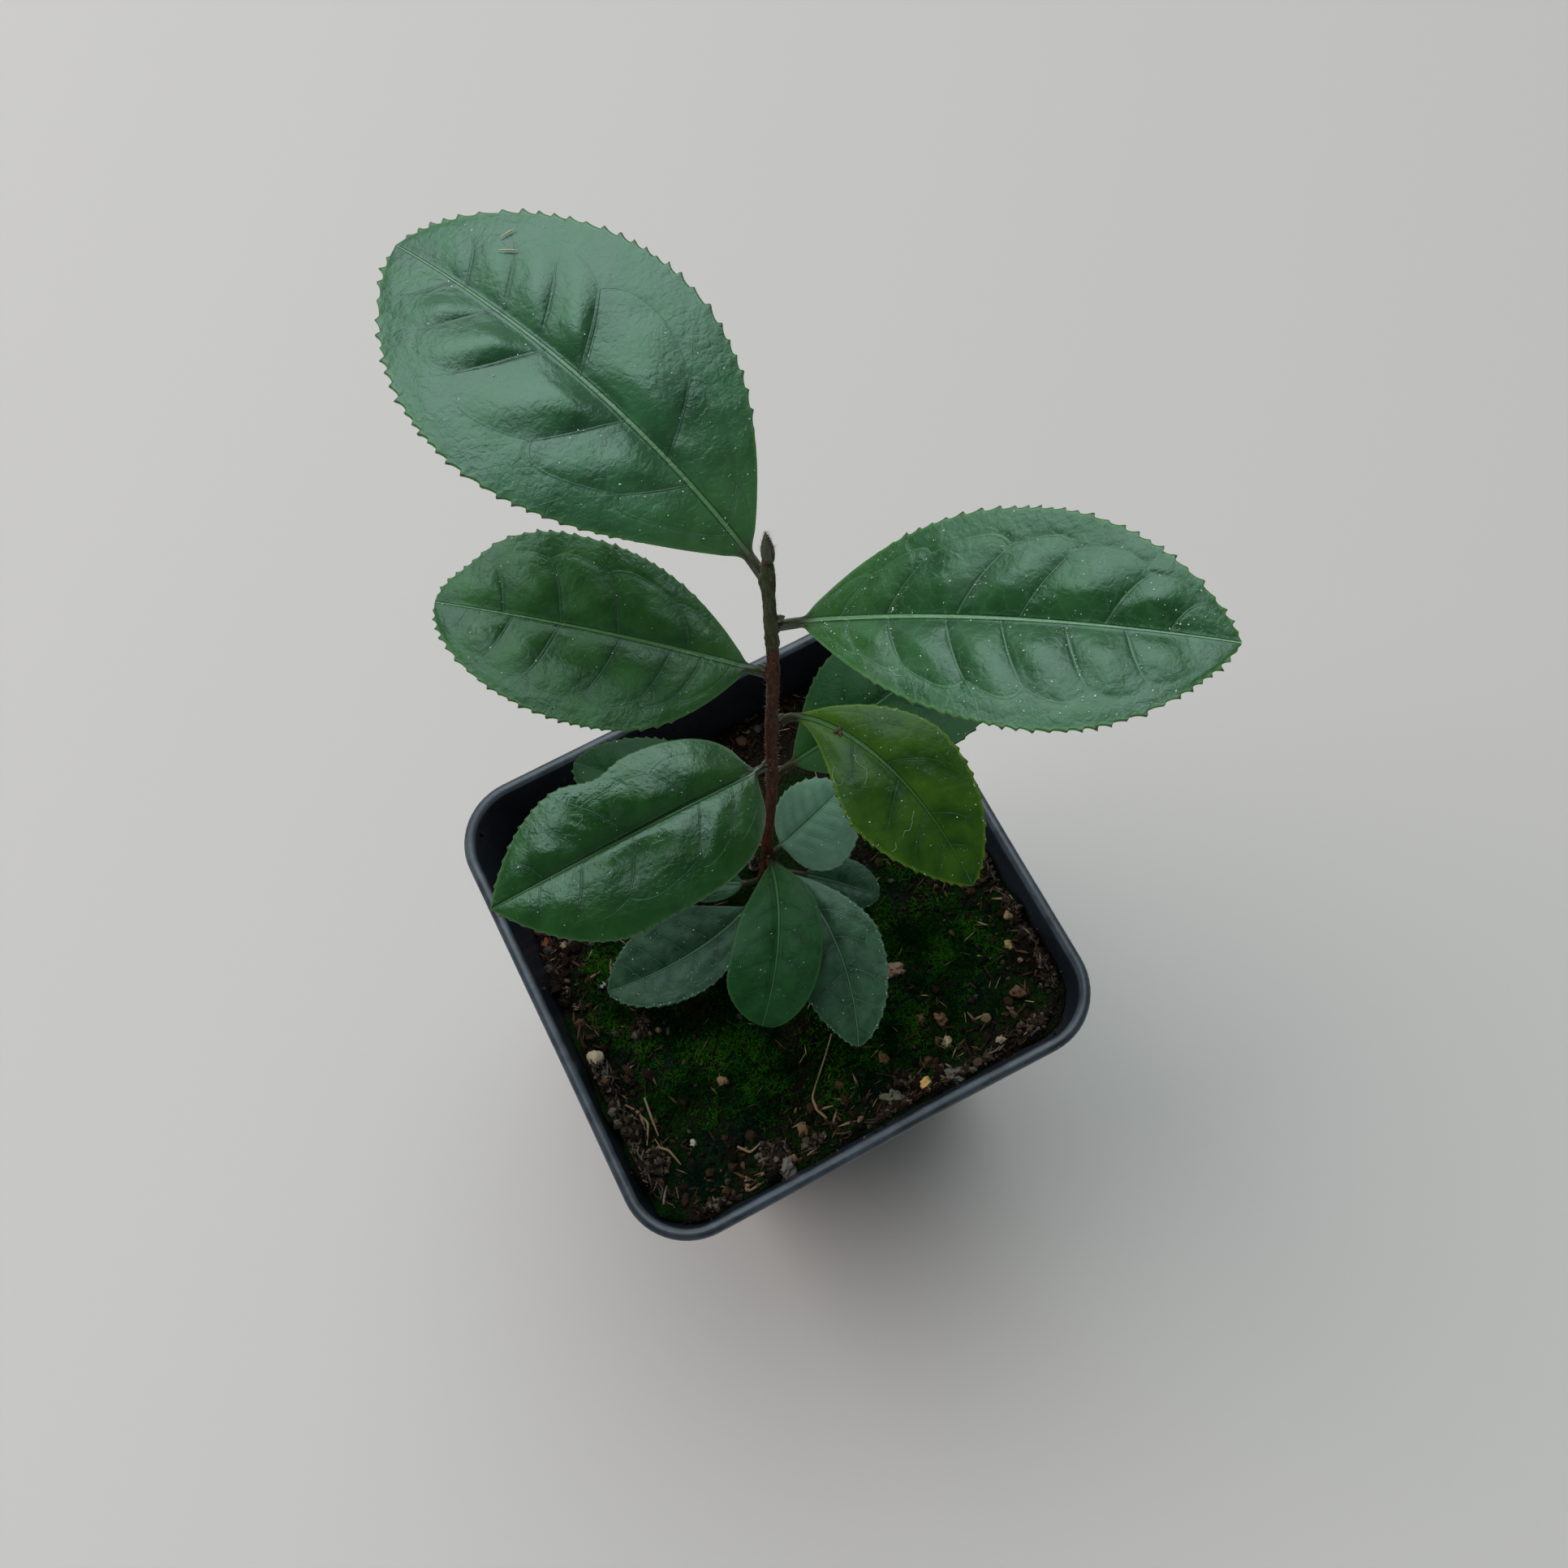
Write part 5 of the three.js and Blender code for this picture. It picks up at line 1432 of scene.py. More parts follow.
def dry_wood():
    material, tree, shader = new_material("weathered_wood", 0.8, specular=0.2)
    place = add_node(tree, "TexCoord").outputs["Object"]
    long_place = add_node(tree, "Mapping", {0: place, 3: (1, 1, 0.1)}).outputs[0]
    grain = noise_of(tree, 2300.0, 4.0, 0.4, long_place)
    peel = ramp_of(tree, noise_of(tree, 420.0, 3.0, place=place), 0.42, 0.56)
    pale = mix_of(tree, ramp_of(tree, grain, 0.3, 0.7), (0.20, 0.155, 0.135, 1), (0.46, 0.40, 0.37, 1))
    dark = mix_of(tree, ramp_of(tree, grain, 0.3, 0.7), (0.030, 0.018, 0.013, 1), (0.085, 0.055, 0.040, 1))
    tree.links.new(mix_of(tree, peel, pale, dark), shader.inputs["Base Color"])
    link_bump(tree, shader, grain, 0.15, 0.9)
    return material


stub = old_wood_rings()
new_piece("old_wood_bark", stub, tube_faces(*stub.shape[:2]), dry_wood(), ["old_wood"])

# %% [markdown]
# ## The potting mix
#
# The mix is damp, dark and crumbly, sunk and bare at the back, and covered with moss elsewhere. Its top is
# a fine grid pressed into the pot's rounded square. Several sizes of noise make its lumps, as soil has
# crumbs on clods on hollows. The sides run down the pot's wall and close at the floor.

# %% Ground shape
GROUND_CELLS = 190
GROUND_CLEAR = 0.06
BANK_HEIGHT = 3.4
BANK_LEFT = 4.2
BANK_TOP = 97.6
GROUND_LUMPS = [(9.0, 0.75), (3.4, 0.55), (1.3, 0.32), (0.6, 0.14)]


def edge_reach(angle, half, radius):
    """How far a rounded square's edge is from its middle in a direction."""
    ray = np.stack([np.abs(np.cos(angle)), np.abs(np.sin(angle))])
    straight = half / ray.max(axis=0)
    corner = half - radius
    on_corner = straight * ray.min(axis=0) > corner
    to_centre = ray.sum(axis=0) * corner
    curved = to_centre + np.sqrt(np.maximum(to_centre**2 - 2 * corner**2 + radius**2, 0))
    return np.where(on_corner, curved, straight)


def ground_height(x, y):
    """Height of the mix with its lumps."""
    x, y = np.asarray(x, float), np.asarray(y, float)
    flat = np.stack([x, y, np.zeros_like(x)], axis=-1)
    height = mix_top(x, y)
    for seed, (size, tall) in enumerate(GROUND_LUMPS):
        height = height + tall * noise_at(flat, size, seed * 9.7)
    reach = np.hypot(x, y) / edge_reach(np.arctan2(y, x), inner_half(90.0), inner_radius(90.0))
    front = smoothstep(-0.1 * x - y, -20, 2)
    tallest = BANK_HEIGHT + BANK_LEFT * smoothstep(-x, 28, 38)
    bank = tallest * (0.65 + 0.6 * noise_at(flat, 5.2, 40.0))
    return np.minimum(height + (front * bank - 0.5) * smoothstep(reach, 0.86, 0.98), BANK_TOP)


def ground_shape():
    steps = np.linspace(-1, 1, GROUND_CELLS + 1)
    u, v = np.meshgrid(steps, steps, indexing="xy")
    angle = np.arctan2(v, u)
    half, radius = float(inner_half(MIX_TOP)) - GROUND_CLEAR, float(inner_radius(MIX_TOP)) - GROUND_CLEAR
    square = 1 / np.maximum(np.abs(np.cos(angle)), np.abs(np.sin(angle)))
    scale = edge_reach(angle, half, radius) / square
    x, y = u * scale, v * scale
    z = ground_height(x, y)
    for _ in range(2):
        fit = (inner_half(z) - GROUND_CLEAR) / half
        z = ground_height(x * fit, y * fit)
    top = np.stack([x * fit, y * fit, z], axis=-1)
    size = GROUND_CELLS + 1
    cell = np.arange(GROUND_CELLS)
    a = (cell[:, None] * size + cell[None, :]).reshape(-1)
    faces = np.stack([a, a + 1, a + size + 1, a + size], axis=1).tolist()
    rim = [*range(size), *range(2 * size - 1, size * size, size)]
    rim += [*range(size * size - 2, size * (size - 1) - 1, -1), *range(size * (size - 2), 0, -size)]
    points = [top.reshape(-1, 3)]
    first, above = size * size, np.array(rim)
    edge = top.reshape(-1, 3)[rim]
    turn = np.arctan2(edge[:, 1], edge[:, 0])
    for share in (0.25, 0.5, 0.75, 1.0):
        level = lerp(edge[:, 2], POT_FLOOR + GROUND_CLEAR, share)
        reach = edge_reach(turn, inner_half(level) - GROUND_CLEAR, inner_radius(level) - GROUND_CLEAR)
        points.append(np.stack([reach * np.cos(turn), reach * np.sin(turn), level], axis=1))
        below = first + np.arange(len(rim))
        faces += np.stack([above, below, np.roll(below, -1), np.roll(above, -1)], axis=1).tolist()
        first, above = first + len(rim), below
    faces.append(above[::-1].tolist())
    return np.concatenate(points), faces


# %% Ground finish


def potting_mix():
    material, tree, shader = new_material("damp_mix", 0.8, specular=0.04)
    place = add_node(tree, "TexCoord").outputs["Object"]
    height = add_node(tree, "SeparateXYZ", {0: place}).outputs["Z"]
    lumps = noise_of(tree, 420.0, 5.0, 0.6, place)
    grains = noise_of(tree, 2300.0, 4.0, 0.3, place)
    soil = mix_of(tree, ramp_of(tree, grains, 0.35, 0.7), (0.0025, 0.0018, 0.0015, 1), (0.015, 0.0095, 0.0065, 1))
    green = mix_of(tree, ramp_of(tree, grains, 0.3, 0.7), (0.0012, 0.0045, 0.0008, 1), (0.005, 0.016, 0.002, 1))
    patch = noise_of(tree, 85.0, 3.0, 0.5, place)
    raised = ramp_of(tree, height, 0.0865, 0.0895)
    cover = math_of(tree, "MULTIPLY", ramp_of(tree, patch, 0.4, 0.55), raised)
    skin = mix_of(tree, cover, soil, green)
    bluish = ramp_of(tree, noise_of(tree, 60.0, 2.0, place=place), 0.58, 0.7, 0.0, 0.5)
    skin = mix_of(tree, bluish, skin, (0.005, 0.011, 0.010, 1))
    tree.links.new(skin, shader.inputs["Base Color"])
    tree.links.new(ramp_of(tree, lumps, 0.3, 0.7, 0.55, 0.95), shader.inputs["Roughness"])
    link_bump(tree, shader, grains, 0.35, 1.0)
    return material


points, faces = ground_shape()
ground = new_piece("ground", points, faces, potting_mix(), ["potting_mix"])
print("ground triangles", piece_count["ground"])

# %% [markdown]
# ## Many small things at once
#
# Moss, crumbs, grit and needles are thousands of small shapes. Thousands of objects would be slow, so a
# shape is copied in one numpy table, turned and sized for each place, and joined as one mesh. Each kind of
# colour is a plain material, and a material index on each face says which copy has which.

# %% Copies of a small shape


def lump_shape(detail):
    """Points and faces of a small ball."""
    shape = bmesh.new()
    bmesh.ops.create_icosphere(shape, subdivisions=detail, radius=1)
    points = np.array([tuple(v.co) for v in shape.verts])
    faces = np.array([[v.index for v in f.verts] for f in shape.faces])
    shape.free()
    return points, faces


def turned(rng, count):
    """Turns in all directions, as one matrix for each copy."""
    q = rng.normal(size=(count, 4))
    w, x, y, z = (q / np.linalg.norm(q, axis=1, keepdims=True)).T
    rows = [1 - 2 * (y * y + z * z), 2 * (x * y - z * w), 2 * (x * z + y * w)]
    rows += [2 * (x * y + z * w), 1 - 2 * (x * x + z * z), 2 * (y * z - x * w)]
    rows += [2 * (x * z - y * w), 2 * (y * z + x * w), 1 - 2 * (x * x + y * y)]
    return np.stack(rows, axis=1).reshape(-1, 3, 3)


def copies(shape, places, sizes, turns):
    """One table of points and one of faces for a shape set at many places."""
    points, faces = shape
    sized = points[None] * sizes[:, None, :]
    moved = np.einsum("nij,nkj->nki", turns, sized) + places[:, None]
    first = np.arange(len(places))[:, None, None] * len(points)
    return moved.reshape(-1, 3), (faces[None] + first).reshape(-1, faces.shape[1]).tolist()


def plain_finish(name, colour, roughness=0.8, specular=0.06):
    material, _, shader = new_material(name, roughness, specular)
    shader.inputs["Base Color"].default_value = (*colour, 1)
    return material


def clear_of_plant(x, y):
    """True where the mix is free of the stem and the old wood."""
    stem_off = np.hypot(x - STEM_FOOT[0], y - STEM_FOOT[1])
    return (stem_off > 2.2) & (np.hypot(x - OLD_FOOT[0], y - OLD_FOOT[1]) > 2.0)


def within_pot(x, y, margin):
    """True at this distance or more from the pot's wall."""
    reach = edge_reach(np.arctan2(y, x), inner_half(88.0), inner_radius(88.0))
    return np.hypot(x, y) < reach - margin


# %% [markdown]
# ## The moss
#
# Moss grows in tufts of tiny pointed leaves, thick where it's damp and bright. Each tuft is a star of
# spikes that lean outwards. A few wide patches, measured from the photograph, say where it grows thickest,
# and noise breaks their edges.

# %% Moss
MOSS_PATCHES = [(-17, -22, 13), (8, -27, 14), (24, -20, 13), (-30, -8, 10), (28, 0, 9), (-32, -36, 6)]
MOSS_PATCHES += [(-2, -33, 9), (30, 12, 8), (16, -8, 8), (-30, 9, 7), (-12, -6, 8), (-36, 1, 8), (-27, -21, 9)]
MOSS_TUFTS = 10500
MOSS_LEAVES = 6
MOSS_GREENS = [(0.002, 0.017, 0.0016), (0.007, 0.052, 0.004), (0.025, 0.096, 0.006), (0.003, 0.015, 0.010)]
TEAL_PATCHES = [(-33, -33, 9), (3, -37, 6), (-22, -33, 6), (-6, -12, 7), (30, -30, 5)]


def patch_cover(x, y, patches, seed):
    """How fully these patches, with broken edges, cover each place, from 0 to 1."""
    cover = np.zeros_like(x)
    for px, py, size in patches:
        cover = np.maximum(cover, np.exp(-(((x - px) ** 2 + (y - py) ** 2) / size**2)))
    broken = noise_at(np.stack([x, y, np.zeros_like(x)], axis=-1), 5.5, seed)
    return clamp01(cover * 1.25 + 0.5 * broken - 0.12)


def moss():
    rng = np.random.default_rng(12)
    x = rng.uniform(-42, 42, MOSS_TUFTS * 5)
    y = rng.uniform(-42, 42, MOSS_TUFTS * 5)
    cover = patch_cover(x, y, MOSS_PATCHES, 21.0)
    keep = (rng.uniform(0, 1, len(x)) < cover**1.3) & clear_of_plant(x, y)
    keep &= within_pot(x, y, 3.2 + 1.6 * noise_at(np.stack([x, y, 0 * x], axis=-1), 6.0, 77.0))
    x, y, cover = x[keep][:MOSS_TUFTS], y[keep][:MOSS_TUFTS], cover[keep][:MOSS_TUFTS]
    feet = np.stack([x, y, ground_height(x, y) - 0.12], axis=-1)
    feet = np.repeat(feet, MOSS_LEAVES, axis=0)
    count = len(feet)
    turn = rng.uniform(0, 2 * math.pi, count)
    lean = rng.uniform(0.15, 1.1, count)
    out = np.stack([np.cos(turn) * lean, np.sin(turn) * lean, np.ones(count)], axis=1)
    clump = 1 + 0.7 * noise_at(feet, 2.2, 33.0)
    lengths = rng.uniform(0.5, 1.2, count) * np.repeat(lerp(0.65, 1.2, cover), MOSS_LEAVES) * clump
    widths = rng.uniform(0.08, 0.15, count)
    tone = noise_at(feet, 6.0, 2.0) * 1.6 + noise_at(feet, 1.8, 12.0) * 0.7 + rng.normal(0, 0.3, count)
    index = np.digitize(tone + np.repeat(cover, MOSS_LEAVES) * 0.5, [0.15, 0.75])
    teal = patch_cover(feet[:, 0], feet[:, 1], TEAL_PATCHES, 44.0) + rng.normal(0, 0.15, count)
    index[teal > 0.55] = 3
    for shade, green in enumerate(MOSS_GREENS):
        mine = np.flatnonzero(index == shade)
        points, faces = spikes(feet[mine], out[mine], lengths[mine], widths[mine])
        name = "moss_" + str(shade)
        new_piece(name, points, faces, plain_finish(name, green, 0.75, 0.03))
        print(name, piece_count[name], "triangles")


moss()

# %% [markdown]
# ## Crumbs, grit and fibres
#
# Bits of bark, coir and grit gather along the pot's wall, where water carries them. The few that stand out
# are set where they lie in the photograph, and the rest are scattered, most of them near the wall.

# %% Crumbs
CRUMB_COLOURS = [(0.011, 0.006, 0.004), (0.026, 0.014, 0.008), (0.004, 0.0032, 0.003), (0.060, 0.034, 0.020)]
CRUMB_COLOURS += [(0.042, 0.036, 0.031), (0.120, 0.078, 0.046)]
CRUMB_SHARES = [0.34, 0.26, 0.22, 0.09, 0.06, 0.03]


def rough_shape(detail, seed, depth):
    points, faces = lump_shape(detail)
    bumps = 1 + depth * noise_at(points, 0.8, seed) + depth * 0.6 * noise_at(points, 0.36, seed + 4)
    bumps = bumps + depth * 0.35 * noise_at(points, 0.16, seed + 8)
    return points * bumps[:, None], faces


def scattered(rng, count, spread):
    """Places on the mix, more of them towards the wall as spread grows."""
    angle = rng.uniform(0, 2 * math.pi, count)
    reach = edge_reach(angle, inner_half(89.0), inner_radius(89.0)) - 0.7
    far = reach * rng.uniform(0, 1, count) ** (1 / spread)
    x, y = far * np.cos(angle), far * np.sin(angle)
    keep = clear_of_plant(x, y)
    return x[keep], y[keep]


def crumbs(name, count, spread, low, high, seed, detail=1):
    rng = np.random.default_rng(seed)
    x, y = scattered(rng, count, spread)
    size = low * (high / low) ** (rng.uniform(0, 1, len(x)) ** 2.2)
    sizes = size[:, None] * rng.uniform(0.55, 1.15, (len(x), 3))
    places = np.stack([x, y, ground_height(x, y) + 0.12 * size], axis=-1)
    shape = rough_shape(detail, seed, 0.5)
    points, faces = copies(shape, places, sizes, turned(rng, len(x)))
    index = np.repeat(rng.choice(len(CRUMB_COLOURS), len(x), p=CRUMB_SHARES), len(shape[1]))
    finishes = [plain_finish(name + "_" + str(n), colour, 0.85) for n, colour in enumerate(CRUMB_COLOURS)]
    return new_piece(name, points, faces, finishes, indices=index, smooth=False)


crumbs("wall_crumbs", 2100, 9.0, 0.2, 1.5, 31)
crumbs("ground_crumbs", 700, 2.4, 0.14, 0.75, 32)

# %% Stones, clods and prills that stand out
PLACED = [
    ("cream_prill", (-39.6, -7.8), (1.5, 1.5, 1.3), (0.32, 0.25, 0.165)),
    ("tan_grit", (-21.0, -21.6), (0.9, 0.8, 0.6), (0.16, 0.10, 0.06)),
    ("yellow_prill", (10.6, -39.0), (1.1, 1.0, 0.9), (0.45, 0.28, 0.10)),
    ("tan_stone", (15.9, -18.3), (1.6, 1.3, 1.1), (0.20, 0.13, 0.085)),
    ("brown_grit_a", (15.8, -28.2), (1.0, 0.9, 0.7), (0.085, 0.045, 0.026)),
    ("brown_grit_b", (18.8, -30.0), (1.2, 0.9, 0.8), (0.115, 0.060, 0.034)),
    ("brown_grit_c", (6.5, -31.2), (0.9, 0.8, 0.6), (0.100, 0.052, 0.030)),
    ("brown_grit_d", (-12.4, -35.9), (1.0, 0.9, 0.7), (0.120, 0.066, 0.038)),
    ("brown_grit_e", (33.5, -32.4), (1.3, 1.0, 0.9), (0.095, 0.050, 0.030)),
    ("greenish_stone", (4.6, -38.5), (1.7, 1.3, 1.0), (0.090, 0.085, 0.060)),
    ("cream_cluster", (17.9, -34.1), (0.9, 0.8, 0.7), (0.27, 0.20, 0.13)),
    ("cream_grit", (26.3, -38.4), (0.8, 0.7, 0.6), (0.25, 0.19, 0.125)),
    ("grey_dome_a", (-17.8, -40.4), (1.7, 1.2, 0.9), (0.105, 0.090, 0.080)),
    ("grey_dome_b", (15.9, -40.2), (1.6, 1.1, 0.9), (0.095, 0.085, 0.075)),
    ("tan_bit", (-25.2, -39.6), (1.1, 0.7, 0.5), (0.18, 0.11, 0.06)),
    ("white_bit_a", (-30.7, -28.9), (0.6, 0.5, 0.4), (0.30, 0.27, 0.225)),
    ("white_bit_b", (-33.1, 4.8), (0.6, 0.5, 0.4), (0.28, 0.255, 0.215)),
    ("yellow_crumb_a", (36.4, -23.9), (0.9, 0.7, 0.6), (0.22, 0.15, 0.06)),
    ("yellow_crumb_b", (39.1, -19.3), (1.0, 0.8, 0.7), (0.20, 0.14, 0.07)),
    ("red_bit", (-39.6, 17.5), (1.2, 0.6, 0.5), (0.16, 0.040, 0.020)),
    ("pale_bits", (-36.5, 15.0), (1.1, 0.7, 0.5), (0.22, 0.16, 0.11)),
    ("bark_bit", (-29.2, 38.2), (1.6, 2.2, 0.5), (0.105, 0.034, 0.020)),
]


def placed_stones():
    points, faces, index, first = [], [], [], 0
    for number, (_, (x, y), size, _) in enumerate(PLACED):
        rng = np.random.default_rng(500 + number)
        shape = rough_shape(4 if size[0] > 1.5 else 3, 60 + number, 0.3 if size[0] == size[1] else 0.75)
        place = np.array([[x, y, float(ground_height(x, y)) + 0.3 * size[2]]])
        turn = np.array(Matrix.Rotation(rng.uniform(0, 6.28), 3, "Z"))[None]
        more, joined = copies(shape, place, np.array([size], float), turn)
        points.append(more)
        faces += (np.array(joined) + first).tolist()
        index += [number] * len(joined)
        first += len(more)
    finishes = [plain_finish(name, colour, 0.75) for name, _, _, colour in PLACED]
    return new_piece("stones", np.concatenate(points), faces, finishes, indices=index)


placed_stones()

# %% [markdown]
# The biggest lumps are clods of the mix itself, and a crust of the same stuff clings to the pot's wall. A
# single noisy ball looks like a potato, so each clod is built from many crumbs packed in an egg shape.

# %% Clods
CLODS = [
    ((-18.8, -36.9), (3.2, 2.2, 1.7), 240), ((-30.1, -5.8), (2.3, 2.0, 1.2), 150), ((-11.5, -38.4), (2.4, 1.2, 1.0), 110),
    ((-40.4, -15.0), (1.2, 4.2, 1.6), 170), ((-39.6, -22.5), (2.0, 4.0, 1.7), 230), ((-38.0, -29.0), (2.2, 3.0, 1.5), 170),
    ((40.6, -8.0), (1.3, 6.0, 1.3), 170), ((40.2, -21.0), (1.6, 6.0, 1.6), 210), ((40.0, -32.0), (1.4, 4.5, 1.3), 130),
    ((3.0, -40.6), (5.0, 1.2, 1.0), 150), ((19.0, -40.2), (6.0, 1.2, 1.1), 190), ((-30.5, -40.2), (4.0, 1.0, 0.9), 110),
    ((33.0, -38.5), (3.5, 1.6, 1.0), 100), ((8.0, -36.5), (2.4, 1.3, 0.8), 70),
]
CLOD_COLOURS = [(0.020, 0.013, 0.009), (0.046, 0.032, 0.023), (0.085, 0.066, 0.052), (0.008, 0.006, 0.005)]


def clods():
    rng = np.random.default_rng(64)
    places, sizes = [], []
    for (x, y), reach, count in CLODS:
        way = rng.normal(size=(count, 3))
        way = way / np.linalg.norm(way, axis=1, keepdims=True) * rng.uniform(0.55, 1.0, (count, 1))
        spots = np.array([x, y, 0.0]) + way * reach
        keep = within_pot(spots[:, 0], spots[:, 1], 0.5)
        spots = spots[keep]
        spots[:, 2] = ground_height(spots[:, 0], spots[:, 1]) + np.abs(spots[:, 2]) * 0.9
        spots[:, 2] = np.minimum(spots[:, 2], BANK_TOP + 0.8)
        places.append(spots)
        sizes.append(0.3 * 3.0 ** (rng.uniform(0, 1, len(spots)) ** 2))
    places, sizes = np.concatenate(places), np.concatenate(sizes)
    shape = rough_shape(1, 64, 0.6)
    stretched = sizes[:, None] * rng.uniform(0.45, 1.3, (len(sizes), 3))
    points, faces = copies(shape, places, stretched, turned(rng, len(sizes)))
    index = np.repeat(rng.choice(len(CLOD_COLOURS), len(sizes), p=[0.34, 0.3, 0.14, 0.22]), len(shape[1]))
    finishes = [plain_finish("clod_" + str(n), colour, 0.85) for n, colour in enumerate(CLOD_COLOURS)]
    return new_piece("clods", points, faces, finishes, indices=index, smooth=False)


clods()

# %% Splinters, needles and a twig
NEEDLE_COLOURS = [(0.20, 0.13, 0.065), (0.33, 0.24, 0.13), (0.085, 0.050, 0.028)]


def rods(name, count, lengths, radius, spread, seed, lift, colours, shares):
    """Thin lying pieces: each is a four-sided rod with its ends tapered."""
    rng = np.random.default_rng(seed)
    rod = spindle([0, 0, -0.5], [0, 0, 1], 1, 1, 6, 4, swell=1.0)
    rod_faces = tube_faces(*rod.shape[:2])
    x, y = scattered(rng, count, spread)
    turn = rng.uniform(0, 2 * math.pi, len(x))
    tilt = rng.normal(0, lift, len(x))
    along = np.stack([np.cos(turn) * np.cos(tilt), np.sin(turn) * np.cos(tilt), np.sin(tilt)], axis=1)
    side = np.stack([-np.sin(turn), np.cos(turn), np.zeros(len(x))], axis=1)
    turns = np.stack([side, np.cross(along, side), along], axis=2)
    size = rng.uniform(*lengths, len(x))
    keep = within_pot(x + along[:, 0] * size / 2, y + along[:, 1] * size / 2, 0.2)
    keep &= within_pot(x - along[:, 0] * size / 2, y - along[:, 1] * size / 2, 0.2)
    sizes = np.stack([np.full(len(x), radius), np.full(len(x), radius * 0.6), size], axis=1)
    places = np.stack([x, y, ground_height(x, y) + 0.35], axis=-1)
    shape = (rod.reshape(-1, 3), np.array(rod_faces))
    points, faces = copies(shape, places[keep], sizes[keep], turns[keep])
    index = np.repeat(rng.choice(len(colours), keep.sum(), p=shares), len(rod_faces))
    finishes = [plain_finish(name + "_" + str(n), colour, 0.7) for n, colour in enumerate(colours)]
    return new_piece(name, points, faces, finishes, indices=index)


rods("needles", 260, (1.4, 3.4), 0.1, 2.4, 41, 0.22, NEEDLE_COLOURS, [0.4, 0.2, 0.4])
SPLINTER_COLOURS = [CRUMB_COLOURS[1], CRUMB_COLOURS[3], CRUMB_COLOURS[2], (0.15, 0.10, 0.065)]
rods("splinters", 900, (1.2, 4.2), 0.3, 10.0, 42, 0.4, SPLINTER_COLOURS, [0.4, 0.15, 0.35, 0.1])


def bent_rod(path, radii, sides=9):
    """Rings along a path of points, for a twig or a fibre."""
    path = np.asarray(path, float)
    share = np.linspace(0, len(path) - 1, 10 * len(path))
    line = np.stack([np.interp(share, range(len(path)), path[:, k]) for k in range(3)], axis=1)
    for _ in range(6):
        line[1:-1] = (line[:-2] + line[1:-1] * 2 + line[2:]) / 4
    along = np.gradient(line, axis=0)
    along /= np.linalg.norm(along, axis=1, keepdims=True)
    side = np.cross(along, [0.1, 0.2, 0.97])
    side /= np.linalg.norm(side, axis=1, keepdims=True)
    other = np.cross(along, side)
    angles = np.linspace(0, 2 * math.pi, sides, endpoint=False)
    wide = np.interp(share, range(len(radii)), radii)[:, None, None]
    around = np.cos(angles)[None, :, None] * side[:, None] + np.sin(angles)[None, :, None] * other[:, None]
    return line[:, None] - wide * around


def on_ground(places, lift):
    return [(x, y, float(ground_height(x, y)) + lift) for x, y in places]


TWIG = [(0.1, -23.2), (-3.0, -26.4), (-6.8, -30.0), (-8.3, -31.6), (-8.5, -33.8), (-7.7, -36.0)]
TWIG_RADII = [0.16, 0.16, 0.17, 0.24, 0.34, 0.2]
fibre_paths = [[(-34.9, -17.7), (-35.3, -21.4), (-35.6, -24.9)], [(-37.4, -19.0), (-36.2, -22.0), (-38.0, -25.6)]]
fibre_paths += [[(-38.4, -17.5), (-36.8, -19.6), (-37.2, -23.0)], [(-36.6, -26.5), (-35.0, -28.0), (-34.2, -31.2)]]
fibre_paths += [[(-24.0, -33.0), (-22.4, -35.0), (-20.2, -34.4)], [(-8.2, -34.0), (-7.0, -34.3), (-5.6, -34.6)]]
twigs = [bent_rod(on_ground(TWIG, 0.55), TWIG_RADII)]
twigs += [bent_rod(on_ground(path, 0.7), [0.22, 0.26, 0.12]) for path in fibre_paths]
points, faces = join_shapes(twigs)
new_piece("twigs", points, faces, plain_finish("twig_tan", (0.17, 0.115, 0.065), 0.7))

# %% [markdown]
# Coir and bark fibres mat together in the crust along the walls. Each is a short bent rod that lies on the
# crust, most of them along the wall.

# %% Fibres in the crust
CRUST_BEDS = [((-39.8, -22.0), (1.8, 14.0), 110), ((40.6, -18.0), (1.2, 19.0), 120), ((2.0, -40.4), (34.0, 1.2), 90)]
CRUST_COLOURS = [(0.050, 0.038, 0.031), (0.115, 0.088, 0.068), (0.020, 0.013, 0.010)]


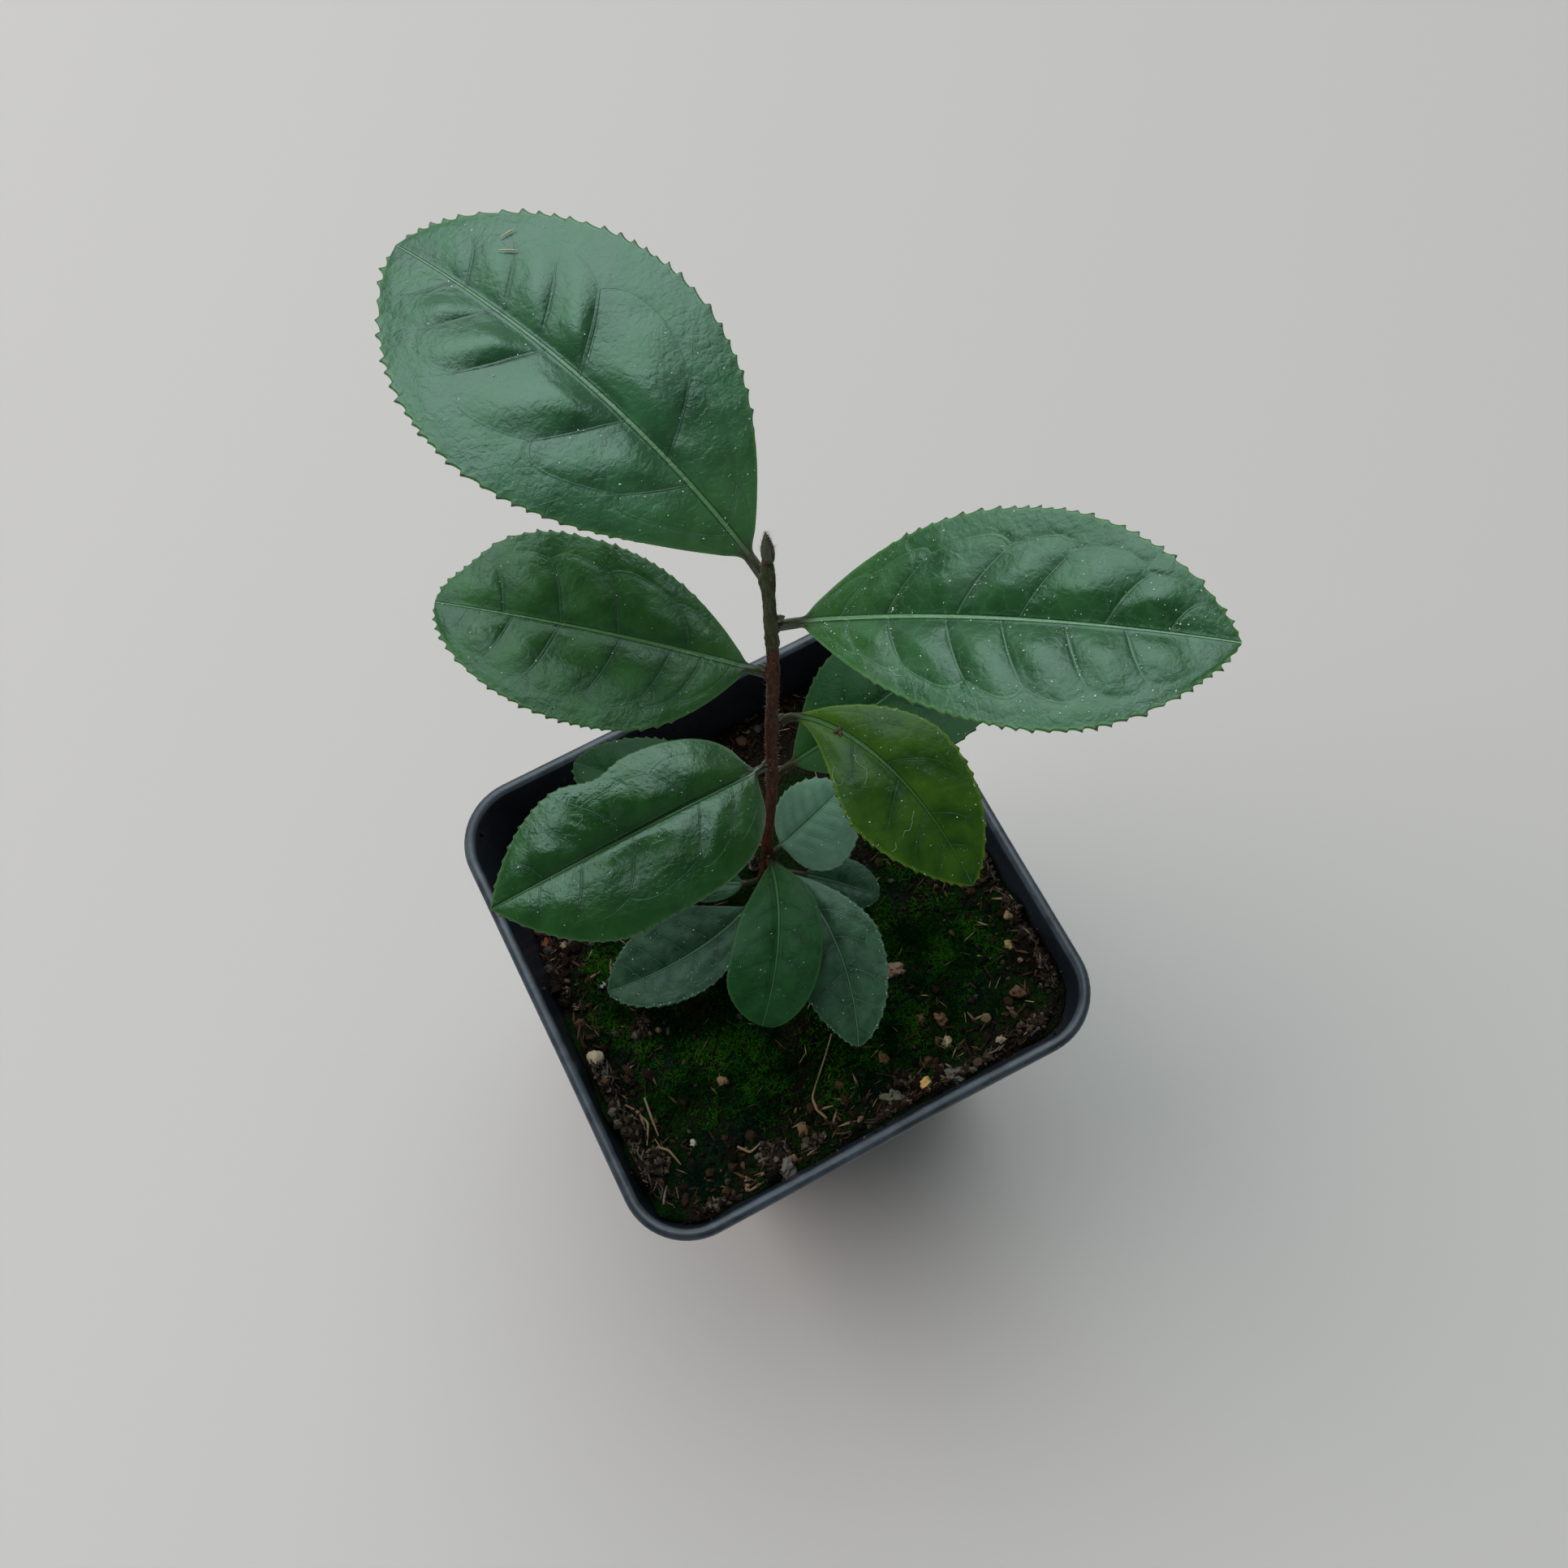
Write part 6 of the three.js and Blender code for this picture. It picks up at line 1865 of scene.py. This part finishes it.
def crust_fibres():
    rng = np.random.default_rng(83)
    shapes, index = [], []
    for (x, y), (wide, long), count in CRUST_BEDS:
        wall_turn = 0.0 if wide > long else math.pi / 2
        for _ in range(count):
            turn = wall_turn + rng.normal(0, 0.5)
            length = rng.uniform(1.2, 3.6)
            middle = np.array([x + rng.uniform(-wide, wide), y + rng.uniform(-long, long)])
            way = np.array([math.cos(turn), math.sin(turn)]) * length / 2
            bend = np.array([-way[1], way[0]]) * rng.normal(0, 0.3)
            line = np.array([middle - way, middle + bend, middle + way])
            if not within_pot(line[:, 0], line[:, 1], 0.5).all():
                continue
            lift = rng.uniform(0.2, 1.5) + rng.normal(0, 0.3, 3)
            path = [(px, py, min(float(ground_height(px, py)) + up, 98.4)) for (px, py), up in zip(line, lift)]
            radius = rng.uniform(0.09, 0.24)
            shapes.append(bent_rod(path, [radius * 0.7, radius, radius * 0.4], 5)[::2])
            index += [int(rng.choice(3, p=[0.45, 0.2, 0.35]))] * len(tube_faces(*shapes[-1].shape[:2]))
    points, faces = join_shapes(shapes)
    finishes = [plain_finish("crust_fibre_" + str(n), colour, 0.8) for n, colour in enumerate(CRUST_COLOURS)]
    return new_piece("crust_fibres", points, faces, finishes, indices=index)


crust_fibres()

# %% [markdown]
# The helpers for copies and bent rods also make the grains, threads and needles that lie on the leaves.

# %% Pieces on the leaves
leaf_grains()
leaf_lint()
leaf_needles()
leaf_nick()

# %% [markdown]
# Splashed grit also sticks to the inside of the pot above the mix. It's the same small lump, set against
# the wall in a narrow band.

# %% Grit on the wall


def wall_grit():
    rng = np.random.default_rng(55)
    count = 700
    angle = rng.uniform(0, 2 * math.pi, count)
    height = 88.5 + 9.0 * rng.uniform(0, 1, count) ** 2.6
    reach = edge_reach(angle, inner_half(height), inner_radius(height)) - 0.02
    places = np.stack([reach * np.cos(angle), reach * np.sin(angle), height], axis=1)
    size = 0.09 * 5.5 ** (rng.uniform(0, 1, count) ** 2)
    sizes = size[:, None] * rng.uniform(0.6, 1.1, (count, 3))
    shape = rough_shape(1, 9, 0.4)
    points, faces = copies(shape, places, sizes, turned(rng, count))
    index = np.repeat(rng.choice(len(CRUMB_COLOURS), count, p=CRUMB_SHARES), len(shape[1]))
    finishes = [plain_finish("wall_grit_" + str(n), colour, 0.85) for n, colour in enumerate(CRUMB_COLOURS)]
    return new_piece("wall_grit", points, faces, finishes, indices=index, smooth=False)


wall_grit()

# %% Sizes of the pieces, and the end of the script
print("largest piece", max(piece_count.items(), key=lambda pair: pair[1]), "in all", sum(piece_count.values()))
